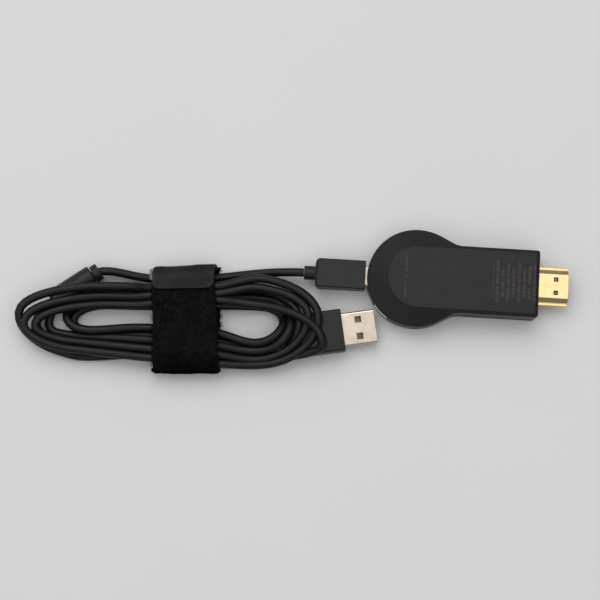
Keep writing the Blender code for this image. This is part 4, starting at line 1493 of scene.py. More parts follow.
@dataclass
class Housing(Assembly):
    """The housing's back and front halves, moulded to the keyhole outline."""

    round_radius: float = 17.5 * MM
    round_x: float = -18.5 * MM
    end_x: float = 25.0 * MM
    half_width: float = 12.05 * MM
    shoulder: float = math.radians(60.0)
    fillet: float = 8.0 * MM
    corner: float = 1.0 * MM
    thickness: float = 12.0 * MM
    flat_radius: float = 10.8 * MM
    flat_x: float = -17.8 * MM
    flat_inset: float = 1.2 * MM
    flat_corner: float = 0.5 * MM
    slope: float = math.radians(30.0)
    flat_edge: float = 0.5 * MM
    wall_edge: float = 0.55 * MM
    wall: float = 1.3 * MM
    roof: float = 1.2 * MM
    lid: float = 2.5 * MM
    lid_edge: float = 0.9 * MM
    parting: float = 0.3 * MM
    broken: float = 0.1 * MM
    lip: float = 0.8 * MM
    lip_top: float = 3.6 * MM
    port_z: float = 5.4 * MM
    corner_steps: int = 8
    fillet_steps: int = 14
    round_steps: int = 56

    def mirrored(self, upper: list[Vector]) -> list[Vector]:
        """A half outline with its mirror image below the X axis."""
        return upper + [Vector((point.x, -point.y)) for point in reversed(upper[:-1])]

    def outline(self, inset: float) -> list[Vector]:
        """The keyhole, counter-clockwise from the plug end.

        Args:
            inset: how far it is drawn in.

        Returns:
            Its points.
        """
        corner = max(self.corner - inset, 0.1 * MM)
        middle = self.half_width + self.fillet
        top = self.round_radius * math.sin(self.shoulder)
        run = (top - middle + self.fillet * math.sin(self.shoulder)) / math.cos(self.shoulder)
        neck_x = self.round_x + self.round_radius * math.cos(self.shoulder)
        neck_x += run * math.sin(self.shoulder) + self.fillet * math.cos(self.shoulder)
        quarter = math.pi / 2
        at_end = (self.end_x - inset - corner, self.half_width - inset - corner)
        upper = arc(at_end, corner, 0.0, quarter, self.corner_steps)
        upper += arc(
            (neck_x, middle),
            self.fillet + inset,
            -quarter,
            self.shoulder - math.pi,
            self.fillet_steps,
        )
        round_end = (self.round_x, 0.0)
        upper += arc(
            round_end, self.round_radius - inset, self.shoulder, math.pi, self.round_steps
        )
        return self.mirrored(upper)

    def flat(self) -> list[Vector]:
        """The edge of the back's raised flat, a point for each point of the outline."""
        outer = self.outline(0.0)
        half = outer[: len(outer) // 2 + 1]
        end = self.end_x - self.flat_inset - self.flat_corner
        quarter = math.pi / 2
        reach = self.flat_radius
        upper = arc(
            (end, reach - self.flat_corner), self.flat_corner, 0.0, quarter, self.corner_steps
        )
        for place in half[len(upper) :]:
            angle = math.atan2(place.y, place.x - self.round_x)
            if len(upper) <= self.corner_steps + self.fillet_steps + 1:
                upper.append(Vector((place.x, reach)))
            elif angle < quarter:
                upper.append(Vector((self.flat_x + reach / math.tan(angle), reach)))
            else:
                turn = Vector((math.cos(angle), math.sin(angle)))
                upper.append(Vector((self.flat_x, 0.0)) + turn * reach)
        return self.mirrored(upper)

    def back_rings(self) -> Rings:
        """The back cover's skin, from the middle of its flat down the outside and up the inside."""
        outer, flat, inner = self.outline(0.0), self.flat(), self.outline(self.wall)
        inward = [(high - low).normalized() for low, high in zip(outer, flat)]
        tops = [
            self.thickness - math.tan(self.slope) * (high - low).length
            for low, high in zip(outer, flat)
        ]
        reach = self.flat_edge * math.tan(self.slope / 2)
        drop = self.wall_edge * math.tan((math.pi / 2 - self.slope) / 2)
        rings = []
        for share in (1.0, 0.75, 0.5, 0.25, 0.0):
            turn = self.slope * (1 - share)
            into = reach - self.flat_edge * math.sin(turn)
            height = self.thickness - self.flat_edge * (1 - math.cos(turn))
            rings.append([(*(p + n * into), height) for p, n in zip(flat, inward)])
        for step in range(6, -1, -1):
            turn = (math.pi / 2 - self.slope) * step / 6
            into = self.wall_edge * (1 - math.cos(turn))
            rise = self.wall_edge * math.sin(turn) - drop
            rings.append(
                [(*(p + n * into), top + rise) for p, n, top in zip(outer, inward, tops)]
            )
        foot = self.lid + self.parting
        rings.append([(*p, foot + self.broken) for p in outer])
        rings.append([(*p, foot) for p in self.outline(self.broken)])
        rings.append([(*p, foot) for p in inner])
        rings.append(
            [(*p, max(top - self.roof, self.port_z + 1.6 * MM)) for p, top in zip(inner, tops)]
        )
        ceiling = self.thickness - self.roof
        rings.append([(*(p + n * self.flat_edge), ceiling) for p, n in zip(flat, inward)])
        return [[Vector(point) for point in ring] for ring in rings]

    def front_rings(self) -> Rings:
        """The front cover's skin, from its face up its rounded edge and over its locating lip."""
        edge = [
            (self.lid_edge * (1 - math.sin(turn)), self.lid_edge * (1 - math.cos(turn)))
            for turn in (step / 7 * math.pi / 2 for step in range(8))
        ]
        lip_out = self.wall + self.parting
        lip_in = lip_out + self.lip
        profile = [
            *edge,
            (0.0, self.lid - self.broken),
            (self.broken, self.lid),
            (lip_out, self.lid),
            (lip_out, self.lip_top),
            (lip_in, self.lip_top),
            (lip_in, self.roof),
        ]
        return [ring_level(self.outline(inset), height) for inset, height in profile]

    def build(self) -> None:
        """Builds both covers and cuts the back one's openings."""
        back = loft("back_shell", [self.back_rings()], BACK_PLASTIC)
        reach = 2.0 * MM
        openings = [
            loft(
                "port_cutter",
                [
                    block(
                        (-35.4 * MM, 0.0, self.port_z),
                        (4.0 * MM, 8.7 * MM, 3.6 * MM),
                        0.9 * MM,
                        (0.0, 0.0),
                        6,
                    )
                ],
                BACK_PLASTIC,
            ),
            VideoPlug().bar("plug_cutter", -0.28 * MM, self.end_x - 2 * reach, self.end_x + reach),
        ]
        for name, control in (("button_cutter", RESET_BUTTON), ("light_cutter", LIGHT_WINDOW)):
            openings.append(control.opening(name, 0.25 * MM))
        cut(back, *openings)
        self.hang(back, Slot.COVER, "back_cover")
        front = loft("front_shell", [self.front_rings()], FRONT_PLASTIC)
        self.hang(front, Slot.FRONT, "front_cover")


@dataclass(frozen=True)
class RimBar:
    """A small bar let into the round end's rim, its outer face following the rim."""

    name: str
    side: int
    depth: float
    length: float
    height: float
    proud: float
    edge: float
    rim: float = 17.5 * MM
    centre: Point = (-18.5 * MM, 0.0, 5.0 * MM)
    angle: float = math.radians(46.0)

    def place(self) -> Matrix:
        """The frame whose X axis points out of the rim there."""
        turn = Matrix.Rotation(math.pi - self.side * self.angle, 4, "Z")
        return Matrix.Translation(self.centre) @ turn

    def rings(self, grown: float, deeper: float) -> Rings:
        """The bar's rings, walked along the rim.

        Args:
            grown: how much it is grown on every side.
            deeper: how much its outer and inner faces are moved apart beyond that.

        Returns:
            The rings.
        """
        middle = self.rim + self.proud - self.depth / 2
        across = self.depth + 2 * (grown + deeper)
        section = Section.rectangle(across, self.height + 2 * grown, self.edge + grown, 5)
        half = self.length / 2 + grown
        rings = []
        for along, inset in eased_run(-half, half, self.edge, self.edge, 5):
            turn = along / self.rim
            rings.append(
                [
                    Vector(((middle + p.x) * math.cos(turn), (middle + p.x) * math.sin(turn), p.y))
                    for p in section.points(inset)
                ]
            )
        return self.walked(rings)

    def walked(self, rings: Rings) -> Rings:
        """The rings with more between the two longest apart, so that the face stays round."""
        half = len(rings) // 2
        first, last = rings[half - 1], rings[half]
        start, end = (math.atan2(ring[0].y, ring[0].x) for ring in (first, last))
        between = []
        for step in range(1, 9):
            turn = Matrix.Rotation((end - start) * step / 9, 4, "Z")
            between.append([turn @ point for point in first])
        return [*rings[:half], *between, *rings[half:]]

    def opening(self, name: str, gap: float) -> bpy.types.Object:
        """The cutter for the bar's opening in the rim."""
        return loft(name, [self.rings(gap, 1.5 * MM)], BACK_PLASTIC, self.place())

    def bar(self, finish: Finish) -> bpy.types.Object:
        """The bar itself."""
        return loft(self.name, [self.rings(0.0, 0.0)], finish, self.place())


RESET_BUTTON = RimBar("reset_bar", -1, 1.6 * MM, 6.4 * MM, 1.9 * MM, 0.25 * MM, 0.25 * MM)
LIGHT_WINDOW = RimBar("light_lens", 1, 2.0 * MM, 2.4 * MM, 1.2 * MM, 0.0, 0.15 * MM)


@dataclass
class RimControls(Assembly):
    """The reset button with its switch, and the light behind its clear window."""

    def build(self) -> None:
        """Builds the button and the window, and dresses what is behind them."""
        self.hang(RESET_BUTTON.bar(CHAMPAGNE), Slot.BUTTON, "reset_button", body=Body.BUTTON)
        self.hang(LIGHT_WINDOW.bar(CLEAR_PLASTIC), Slot.CLEAR, "light_window")
        self.dress(LINER_PLASTIC, "reset_switch_plunger")
        self.dress(SPRING_STEEL, "reset_switch")
        self.dress(CERAMIC, "status_light")


@dataclass
class VideoPlug(Assembly):
    """The gold video plug: a folded shell with a dovetailed seam, and the lining with its contacts."""

    z: float = 6.0 * MM
    tip: float = 36.0 * MM
    root: float = 18.6 * MM
    wall: float = 0.35 * MM
    lining: float = 0.5 * MM
    setback: float = 0.9 * MM
    tip_edge: float = 0.25 * MM
    hole: float = 1.6 * MM
    hole_side: float = 2.4 * MM
    hole_back: float = 4.6 * MM
    slot: Point = (7.0 * MM, 11.0 * MM, 1.7 * MM)
    slot_drop: float = 0.25 * MM
    seam_y: float = 0.2 * MM
    seam_dip: float = 0.95 * MM
    seam_width: float = 0.26 * MM
    section: Section = Section(
        tuple(
            Corner(y * MM, z * MM, radius * MM)
            for y, z, radius in (
                (-6.95, -2.225, 0.45),
                (6.95, -2.225, 0.45),
                (6.95, 0.25, 0.35),
                (5.95, 0.25, 0.15),
                (5.85, 0.95, 0.25),
                (4.25, 2.225, 0.5),
                (-4.25, 2.225, 0.5),
                (-5.85, 0.95, 0.25),
                (-5.95, 0.25, 0.15),
                (-6.95, 0.25, 0.35),
            )
        )
    )

    def ring(self, inset: float, along: float) -> list[Vector]:
        """The plug's section, drawn in, at one place along X."""
        return [
            Vector((along, point.x, point.y + self.z)) for point in self.section.points(inset)
        ]

    def bar(self, name: str, inset: float, start: float, end: float) -> bpy.types.Object:
        """A bar with the plug's section."""
        return loft(name, [[self.ring(inset, start), self.ring(inset, end)]], LINER_PLASTIC)

    def seam(self) -> bpy.types.Object:
        """The cutter for the seam where the shell's edges meet, with its two dovetails."""
        high, low, splay = self.seam_y, self.seam_y - self.seam_dip, 0.2 * MM
        path = [(self.root, high)]
        for start, end in ((28.4 * MM, 30.1 * MM), (32.5 * MM, 33.9 * MM)):
            path += [(start + splay, high), (start, low), (end, low), (end - splay, high)]
        path.append((self.tip + MM, high))
        outline = ribbon(path, self.seam_width)
        top = self.z + 2.225 * MM
        rings = [ring_level(outline, top - 0.3 * MM), ring_level(outline, top + MM)]
        return loft("seam_cutter", [rings], GOLD_PLATE)

    def build(self) -> None:
        """Builds the shell, the lining, the contacts and the spring tongues, whose dark steel is painted
        shade in the latch holes.
        """
        outside = eased_run(self.root, self.tip, 0.0, self.tip_edge)
        rings = [self.ring(inset, along) for along, inset in outside]
        rings.append(self.ring(self.wall, self.tip - 0.05 * MM))
        rings.append(self.ring(self.wall, self.root + self.wall))
        shell = loft("video_shell", [rings], GOLD_PLATE)
        holes = []
        for side in (-1, 1):
            centre = (self.tip - self.hole_back, side * self.hole_side, self.z + 2.2 * MM)
            size = (self.hole, self.hole, 1.4 * MM)
            hole = block(centre, size, 0.01 * MM, (0, 0))
            holes.append(loft(f"latch_cutter_{side + 1}", [hole], GOLD_PLATE))
        cut(shell, self.seam(), *holes)
        self.hang(shell, Slot.GOLD, "video_plug_shell")
        front = self.tip - self.setback
        liner = self.bar("video_lining", self.lining, self.root + 0.65 * MM, front)
        depth, width, height = self.slot
        centre = (front, 0.0, self.z - self.slot_drop)
        size = (2 * depth, width, height)
        cut(liner, loft("slot_cutter", [block(centre, size, 0.25 * MM, (0.0, 0.0))], LINER_PLASTIC))
        self.hang(liner, Slot.INSULATOR, "video_plug_insulator")
        self.hang(self.contacts(front, depth, height), Slot.CONTACT)
        # Spring tongues under the latch holes, in dark steel that is painted shade.
        pads = []
        for side in (-1, 1):
            centre = (self.tip - self.hole_back, side * self.hole_side, self.z + 1.78 * MM)
            pads.append(block(centre, (0.95 * MM, 0.95 * MM, 0.16 * MM), 0.07 * MM, (0.07 * MM, 0.07 * MM)))
        self.hang(loft("latch_pads", pads, SHADE_DARK_STEEL), Slot.SHIELD)
        self.dress(LINER_PLASTIC, "video_plug_tail")

    def contacts(self, front: float, depth: float, height: float) -> bpy.types.Object:
        """The two rows of contact strips in the slot.

        Args:
            front: where the lining's front face is.
            depth: how deep the slot is.
            height: how high the slot is.

        Returns:
            All the strips.
        """
        strips = []
        size = (depth - 1.2 * MM, 0.42 * MM, 0.14 * MM)
        middle = self.z - self.slot_drop
        for count, level in ((10, middle + height / 2), (9, middle - height / 2)):
            for index in range(count):
                y = (index - (count - 1) / 2) * MM
                centre = (front - 0.9 * MM - size[0] / 2, y, level)
                strips.append(block(centre, size, 0.05 * MM, (0.05 * MM, 0.05 * MM), 2))
        return loft("video_contacts", strips, CONTACT_GOLD)


@dataclass
class Electronics(Assembly):
    """The board, what is soldered on it, its shield, and the pads and sheets that spread heat."""

    def build(self) -> None:
        """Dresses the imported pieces."""
        self.dress(BOARD_MASK, "main_board")
        self.dress(
            CHIP_RESIN,
            "processor_chip",
            "memory_chip",
            "flash_chip",
            "power_regulator",
            "bulk_capacitor",
        )
        self.dress(SPRING_STEEL, "wireless_module", "clock_crystal", "shield_can")
        self.dress(FERRITE, "power_inductor")
        self.dress(CERAMIC, "chip_antenna")
        self.dress(PAD_GREY, "processor_pad", "spreader_pad", "cover_pad")
        self.dress(ALUMINIUM, "heat_spreader", "front_spreader")
        self.dress(WARM_NICKEL, "power_socket_shell")
        self.dress(LINER_PLASTIC, "power_socket_tongue")


# ---------------------------------------------------------------------------------------------
# The lead's fittings
# ---------------------------------------------------------------------------------------------


@dataclass
class SmallPlug(Assembly):
    """The lead's small plug: a crisp moulded body with rounded rear corners, shell and relief."""

    z: float = 5.4 * MM
    front: float = -36.7 * MM
    back: float = -54.6 * MM
    width: float = 10.4 * MM
    height: float = 6.8 * MM
    edge: float = 0.55 * MM
    rear_corner: float = 1.7 * MM
    rear_chamfer: float = 0.9 * MM
    shell: Point = (7.4 * MM, 6.8 * MM, 1.8 * MM)
    pocket: float = 2.0 * MM
    wall: float = 0.25 * MM
    relief: float = 2.5 * MM
    relief_end: float = -58.6 * MM

    def body_rings(self) -> Rings:
        """The body, from its sharp front edge to its rounded rear corners and rear chamfer."""
        rings = []
        run = [(self.front, 0.15 * MM, 0.15 * MM), (self.front - 0.15 * MM, 0.0, 0.0)]
        for step in range(9):
            turn = step / 8 * math.pi / 2
            along = self.back + self.rear_corner * (1 - math.sin(turn))
            side = self.rear_corner * (1 - math.cos(turn))
            top = max(0.0, self.rear_chamfer - (along - self.back)) * 0.7
            run.append((along, side, top))
        for along, side, top in run:
            section = Section.rectangle(self.width - 2 * side, self.height - 2 * top, self.edge, 5)
            rings.append(
                [Vector((along, p.x, p.y + self.z)) for p in section.points(0.0)]
            )
        return rings

    def build(self) -> None:
        """Builds the body, the shell with its tongue, and the strain relief."""
        self.body = Body.LEAD
        body = loft("small_plug_body", [self.body_rings()], PLUG_PLASTIC)
        length, width, height = self.shell
        room = (2 * (self.pocket + 0.3 * MM), width + 0.3 * MM, height + 0.3 * MM)
        cutter = block((self.front, 0.0, self.z), room, 0.5 * MM, (0.0, 0.0))
        cut(body, loft("pocket_cutter", [cutter], PLUG_PLASTIC))
        self.hang(body, Slot.CORD, "micro_plug_body")
        start = self.front - self.pocket
        outer = Section.rectangle(width, height, 0.45 * MM)
        rings = [
            ring_across(outer.points(inset), along)
            for along, inset in eased_run(start, start + length, 0.0, 0.12 * MM)
        ]
        rings.append(ring_across(outer.points(self.wall), start + length))
        rings.append(ring_across(outer.points(self.wall), start + 2.2 * MM))
        place = Matrix.Translation((0.0, 0.0, self.z))
        self.hang(loft("small_plug_shell", [rings], WARM_NICKEL, place), Slot.NICKEL, "micro_plug_shell")
        self.dress(LINER_PLASTIC, "micro_plug_tongue")
        along = self.back - 0.05 * MM - self.relief_end
        edge = 0.3 * MM
        profile = [(0.0, self.relief - 0.1 * MM), (0.1 * MM, self.relief)]
        profile += [
            (along - edge * (1 - math.sin(t)), self.relief - edge * (1 - math.cos(t)))
            for t in (step / 5 * math.pi / 2 for step in range(6))
        ]
        profile.append((along, 1.6 * MM))
        start_at = Vector((self.back - 0.05 * MM, 0.0, self.z))
        relief = turned("small_plug_relief", profile, PLUG_PLASTIC, start_at, Vector((-1, 0, 0)))
        self.hang(relief, Slot.CORD, "micro_plug_relief")


@dataclass
class ChargerPlug(Assembly):
    """The lead's large plug: a rolled shell with four windows, its tongue, body and relief."""

    tip: Point = (-32.05 * MM, -17.6 * MM, 3.85 * MM)
    turn: float = math.radians(10.9)
    shell: Point = (11.75 * MM, 12.0 * MM, 4.5 * MM)
    sunk: float = 4.0 * MM
    wall: float = 0.3 * MM
    body_size: Point = (16.0 * MM, 15.0 * MM, 7.6 * MM)
    edge: float = 0.8 * MM
    front_edge: float = 0.25 * MM
    window: float = 2.3 * MM
    window_side: float = 3.0 * MM
    window_back: float = 6.0 * MM
    relief: float = 2.7 * MM
    relief_length: float = 4.5 * MM

    def place(self) -> Matrix:
        """The plug's own frame: its open end at the origin, facing +X."""
        return Matrix.Translation(self.tip) @ Matrix.Rotation(self.turn, 4, "Z")

    def shell_piece(self) -> bpy.types.Object:
        """The shell with its windows and its latch dimple."""
        _, width, height = self.shell
        deep = -self.shell[0] - self.sunk
        section = Section.rectangle(width, height, 0.75 * MM, 8)
        rings = [
            ring_across(section.points(inset), along)
            for along, inset in eased_run(deep, 0.0, 0.0, 0.15 * MM)
        ]
        rings.append(ring_across(section.points(self.wall), -0.05 * MM))
        rings.append(ring_across(section.points(self.wall), deep + self.wall))
        shell = loft("charger_shell", [rings], WARM_NICKEL, self.place())
        cutters = []
        for side in (-1, 1):
            centre = (-self.window_back, side * self.window_side, 0.0)
            size = (self.window, self.window, 2 * height)
            window = block(centre, size, 0.01 * MM, (0, 0))
            cutters.append(loft(f"window_{side + 1}", [window], WARM_NICKEL, self.place()))
        for side in (-1, 1):
            outline = arc((-8.9 * MM, 0.0), 0.8 * MM, math.radians(75), math.radians(285), 16)
            line = ribbon([tuple(p) for p in outline], 0.16 * MM)
            level = side * height / 2
            rings = [ring_level(line, level - 0.1 * MM), ring_level(line, level + 0.1 * MM)]
            cutters.append(loft(f"dimple_{side + 1}", [rings], WARM_NICKEL, self.place()))
        cut(shell, *cutters)
        return shell

    def body_rings(self) -> Rings:
        """The body, its front edge crisp and its rear corners rounded in plan."""
        length, width, height = self.body_size
        start, end = -self.shell[0], -self.shell[0] - length
        run = [(start - a, i, i) for a, i in eased_run(0.0, 1.0 * MM, self.front_edge, 0.0, 3)]
        corner = 2.0 * MM
        for step in range(9):
            turn = step / 8 * math.pi / 2
            along = end + corner * (1 - math.sin(turn))
            side = corner * (1 - math.cos(turn))
            run.append((along, side, max(0.0, 0.8 * MM - (along - end)) * 0.8))
        rings = []
        for along, side, top in run:
            section = Section.rectangle(width - 2 * side, height - 2 * top, self.edge, 6)
            rings.append(ring_across(section.points(0.0), along))
        return rings

    def build(self) -> None:
        """Builds the shell, the body and the relief, and dresses the tongue and contacts."""
        self.body = Body.LEAD
        self.hang(self.shell_piece(), Slot.NICKEL, "usb_plug_shell")
        body = loft("charger_body", [self.body_rings()], PLUG_PLASTIC, self.place())
        _, width, height = self.shell
        room = (2 * (self.sunk + 0.3 * MM), width + 0.3 * MM, height + 0.3 * MM)
        pocket = block((-self.shell[0], 0.0, 0.0), room, 0.85 * MM, (0.0, 0.0), 6)
        cut(body, loft("pocket_cutter", [pocket], PLUG_PLASTIC, self.place()))
        self.hang(body, Slot.CORD, "usb_plug_body")
        self.dress(LINER_PLASTIC, "usb_plug_tongue")
        self.dress(CONTACT_GOLD, *(f"usb_contact_{index}" for index in range(1, 5)))
        # Spring leaves under the windows, in dark steel that is painted shade.
        springs = []
        for side in (-1, 1):
            start, end = -self.window_back - 2.2 * MM, -self.window_back + 1.9 * MM
            rings = []
            for along in (start, end):
                share = (along - start) / (end - start)
                height = self.shell[2] / 2 - self.wall - (0.35 + 0.75 * share) * MM
                leaf = Section.rectangle(3.1 * MM, 0.2 * MM, 0.08 * MM, 2).points()
                centre = Vector((0.0, side * self.window_side, height))
                rings.append([point + centre for point in ring_across(leaf, along)])
            springs.append(rings)
        leaves = loft("window_springs", springs, SHADE_DARK_STEEL, self.place())
        self.hang(leaves, Slot.SHIELD)
        back = self.shell[0] + self.body_size[0]
        profile = [(0.0, self.relief - 0.1 * MM), (0.1 * MM, self.relief)]
        for step in range(7):
            share = step / 6
            along = 0.2 * MM + share * (self.relief_length - 0.4 * MM)
            profile.append((along, self.relief * (1 - 0.26 * share)))
        profile.append((self.relief_length, 1.65 * MM))
        start = self.place() @ Vector((-back - 0.05 * MM, 0.0, 0.0))
        direction = self.place().to_3x3() @ Vector((-1.0, 0.0, 0.0))
        relief = turned("charger_relief", profile, PLUG_PLASTIC, start, direction)
        self.hang(relief, Slot.CORD, "usb_plug_relief")


@dataclass
class Choke(Assembly):
    """The moulded choke: a barrel and its collar, with a ferrite core inside."""

    near: Point = (-134.2 * MM, -5.3 * MM, 4.05 * MM)
    far: Point = (-148.0 * MM, -15.6 * MM, 4.05 * MM)
    radius: float = 4.0 * MM
    collar: float = 2.6 * MM
    collar_radius: float = 3.2 * MM
    bore: float = 1.85 * MM
    end_wall: float = 1.6 * MM
    room: float = 3.25 * MM

    def build(self) -> None:
        """Builds the barrel and the collar, and dresses the core."""
        self.body = Body.LEAD
        near, far = Vector(self.near), Vector(self.far)
        length = (far - near).length
        edge, taper = 0.7 * MM, 1.5 * MM
        turns = [step / 6 * math.pi / 2 for step in range(7)]
        profile = [(0.0, self.bore)]
        profile += [
            (edge * (1 - math.cos(t)), self.radius - edge * (1 - math.sin(t))) for t in turns
        ]
        profile += [
            (length - taper * (1 - math.sin(t)), self.radius - taper * 0.8 * (1 - math.cos(t)))
            for t in turns
        ]
        profile += [
            (length, self.bore),
            (length - self.end_wall, self.bore),
            (length - self.end_wall, self.room),
            (self.end_wall, self.room),
            (self.end_wall, self.bore),
        ]
        barrel = turned("choke_barrel", profile, PLUG_PLASTIC, near, far - near, 72, True)
        self.hang(barrel, Slot.CORD, "choke_jacket")
        edge = 0.35 * MM
        profile = [(0.0, self.bore), (0.0, self.collar_radius - 0.1 * MM), (0.1 * MM, self.collar_radius)]
        profile += [
            (self.collar - edge * (1 - math.sin(t)), self.collar_radius - edge * (1 - math.cos(t)))
            for t in turns
        ]
        profile.append((self.collar, self.bore))
        start = near - (far - near).normalized() * 0.25 * MM
        collar = turned("choke_ring", profile, PLUG_PLASTIC, start, near - far, 64, True)
        self.hang(collar, Slot.CORD, "choke_collar")
        self.dress(FERRITE, "choke_core")


@dataclass
class TieStrap(Assembly):
    """The hook-and-loop strap: a looped tape round the hank and the hook tab that holds it shut."""

    centre: tuple[float, float] = (-100.65 * MM, -18.7 * MM)
    turn: float = math.radians(3.35)
    width: float = 22.6 * MM
    thickness: float = 1.1 * MM
    far: float = 16.2 * MM
    near: float = -18.3 * MM
    low: float = 1.65 * MM
    high: float = 7.9 * MM
    corner: float = 2.6 * MM
    under_shift: float = 1.3 * MM
    far_shear: float = 0.055
    near_lean: float = 1.1 * MM
    far_lean: float = -0.2 * MM
    tab_width: float = 22.0 * MM
    tab_thickness: float = 1.0 * MM
    tab_near: float = 9.9 * MM
    tab_foot: float = 4.6 * MM
    tab_corner: float = 2.3 * MM
    loops: int = 7000
    stems: int = 1500
    seed: int = 7

    def path(self, out: float, straight: int = 26, bend: int = 9) -> list[tuple[Vector, Vector]]:
        """The tape's way round the hank, from its near top corner to the far side and under.

        Args:
            out: how far outside the hank it runs.
            straight: the steps in each straight.
            bend: the steps in each corner.

        Returns:
            Each point in the strap's own YZ plane and the direction outwards there.
        """
        corner = self.corner
        middles = (
            (self.near + corner, self.high - corner, math.pi),
            (self.far - corner, self.high - corner, math.pi / 2),
            (self.far - corner, self.low + corner, 0.0),
            (self.near + corner, self.low + corner, -math.pi / 2),
        )
        walked: list[tuple[Vector, Vector]] = []
        for y, z, start in middles:
            turns = [start - math.pi / 2 * step / bend for step in range(bend + 1)]
            stretch = []
            for angle in turns:
                outwards = Vector((math.cos(angle), math.sin(angle)))
                stretch.append((Vector((y, z)) + outwards * (corner + out), outwards))
            if walked:
                walked += self.between(walked[-1], stretch[0], straight)
            walked += stretch
        return walked + self.between(walked[-1], walked[0], straight)

    def between(
        self, first: tuple[Vector, Vector], last: tuple[Vector, Vector], steps: int
    ) -> list[tuple[Vector, Vector]]:
        """Even points on a straight stretch, its ends left out."""
        return [
            (first[0].lerp(last[0], step / steps), first[1].lerp(last[1], step / steps))
            for step in range(1, steps)
        ]

    def warped(self, u: float, y: float, z: float) -> Vector:
        """Puts a point of the straight strap where the pulled and creased one has it.

        Args:
            u: its place across the strap's width.
            y: its place along the strap, seen from above.
            z: its height.

        Returns:
            Its place in the frame.
        """
        raised = min(max((z - self.low) / (self.high - self.low), 0.0), 1.0)
        beyond = min(max(y / self.far, 0.0), 1.0)
        side = u / (self.width / 2)
        slow = noise.noise(Vector((y / MM * 0.11, side * 1.5, raised * 2.0)))
        fine = noise.noise(Vector((y / MM * 0.6, side * 3.0, raised * 2.0 + 9.0)))
        toward = (self.far - y) / (self.far - self.near)
        lean = self.far_lean + (self.near_lean - self.far_lean) * toward
        across = u + max(lean, self.under_shift * (1.0 - raised)) + side * (0.45 * slow + 0.12 * fine) * MM
        along = y + self.far_shear * u * beyond
        along += 0.35 * MM * noise.noise(Vector((u / MM * 0.16, 3.0, raised)))
        sag = noise.noise(Vector((u / MM * 0.12, y / MM * 0.22, 5.0)))
        height = z + 0.22 * MM * sag * raised
        cosine, sine = math.cos(self.turn), math.sin(self.turn)
        return Vector(
            (
                self.centre[0] + cosine * across - sine * along,
                self.centre[1] + sine * across + cosine * along,
                height,
            )
        )

    def tape(self) -> bpy.types.Object:
        """The looped tape, a closed band."""
        section = Section.rectangle(self.width, self.thickness, 0.35 * MM, 3).points()
        lines = {}
        rings: list[list[Vector]] = [[] for _ in self.path(0.0)]
        for point in section:
            out = point.y + self.thickness / 2
            if out not in lines:
                lines[out] = self.path(out)
            for ring, (place, _) in zip(rings, lines[out]):
                ring.append(self.warped(point.x, place.x, place.y))
        return loft("strap_tape", [rings], STRAP_GROUND, looped=True, sharp=50.0)

    def tab_line(self, out: float, reach: float) -> tuple[Vector, Vector]:
        """A point of the tab's way, from its near edge over the far side.

        Args:
            out: how far outside the hank it runs.
            reach: how far it is from the tab's near edge.

        Returns:
            The point and the direction outwards there.
        """
        straight = self.far - self.corner - self.tab_near
        radius = self.corner + self.thickness
        if reach <= straight:
            return Vector((self.tab_near + reach, self.high + out)), Vector((0.0, 1.0))
        turned_by = (reach - straight) / radius
        middle = Vector((self.far - self.corner, self.high - self.corner))
        if turned_by <= math.pi / 2:
            outwards = Vector((math.sin(turned_by), math.cos(turned_by)))
            return middle + outwards * (self.corner + out), outwards
        drop = reach - straight - radius * math.pi / 2
        return Vector((self.far + out, middle.y - drop)), Vector((1.0, 0.0))

    def tab_length(self) -> float:
        """How long the tab is, from its near edge to its foot on the far side."""
        radius = self.corner + self.thickness
        fall = self.high - self.corner - self.tab_foot
        return self.far - self.corner - self.tab_near + radius * math.pi / 2 + fall

    def tab(self) -> bpy.types.Object:
        """The hook tab, its near corners rounded."""
        base = self.thickness + 0.1 * MM
        rings = []
        length = self.tab_length()
        stations = eased_run(0.0, length, self.tab_corner, 0.3 * MM, 7)
        long_run = stations[7][0], stations[8][0]
        for step in range(1, 16):
            stations.append((long_run[0] + (long_run[1] - long_run[0]) * step / 16, 0.0))
        for reach, inset in sorted(stations):
            section = Section.rectangle(self.tab_width - 2 * inset, self.tab_thickness, 0.22 * MM, 3)
            ring = []
            for point in section.points():
                out = base + self.tab_thickness / 2 + point.y
                place, _ = self.tab_line(out, reach)
                ring.append(self.warped(point.x, place.x, place.y))
            rings.append(ring)
        return loft("hook_tab", [rings], HOOK_TAPE, sharp=50.0)

    def yarn(
        self,
        name: str,
        roots: Sequence[tuple[Vector, Vector, Vector]],
        size: tuple[float, float],
        radius: float,
        finish: Finish,
        rng: np.random.Generator,
    ) -> bpy.types.Object:
        """Small loops of yarn standing on a surface.

        Args:
            name: the piece's name.
            roots: for each loop its root, the way up, and the way across.
            size: the least and the greatest height of a loop.
            radius: the yarn's radius.
            finish: what it is made of.
            rng: the strap's random numbers.

        Returns:
            All the loops.
        """
        shape = np.array([(0.0, -0.15), (0.12, 0.55), (0.45, 0.95), (0.8, 0.8), (0.98, 0.3), (0.9, -0.1)])
        count = len(roots)
        heights = rng.uniform(*size, count)
        lean = rng.normal(0.0, 0.28, (count, 2))
        wide = rng.uniform(0.5, 1.1, count)
        base, up, across = (np.array([root[axis] for root in roots]) for axis in range(3))
        beside = np.cross(up, across)
        turn = rng.uniform(0, 2 * np.pi, count)[:, None]
        way = np.cos(turn) * across + np.sin(turn) * beside
        tilted = up + lean[:, :1] * across + lean[:, 1:] * beside
        paths = (
            base[:, None, :]
            + (shape[None, :, :1] * (wide * heights)[:, None, None]) * way[:, None, :]
            + (shape[None, :, 1:] * heights[:, None, None]) * tilted[:, None, :]
        )
        paths += rng.normal(0.0, 0.035 * MM, paths.shape)
        paths[:, :, 2] = np.maximum(paths[:, :, 2], 0.06 * MM)
        radii = np.full(paths.shape[:2], radius) * rng.uniform(0.7, 1.25, (count, 1))
        vertices, faces = tubes(paths, radii)
        return piece_from(name, vertices, faces, finish, sharp=180.0, even=False)

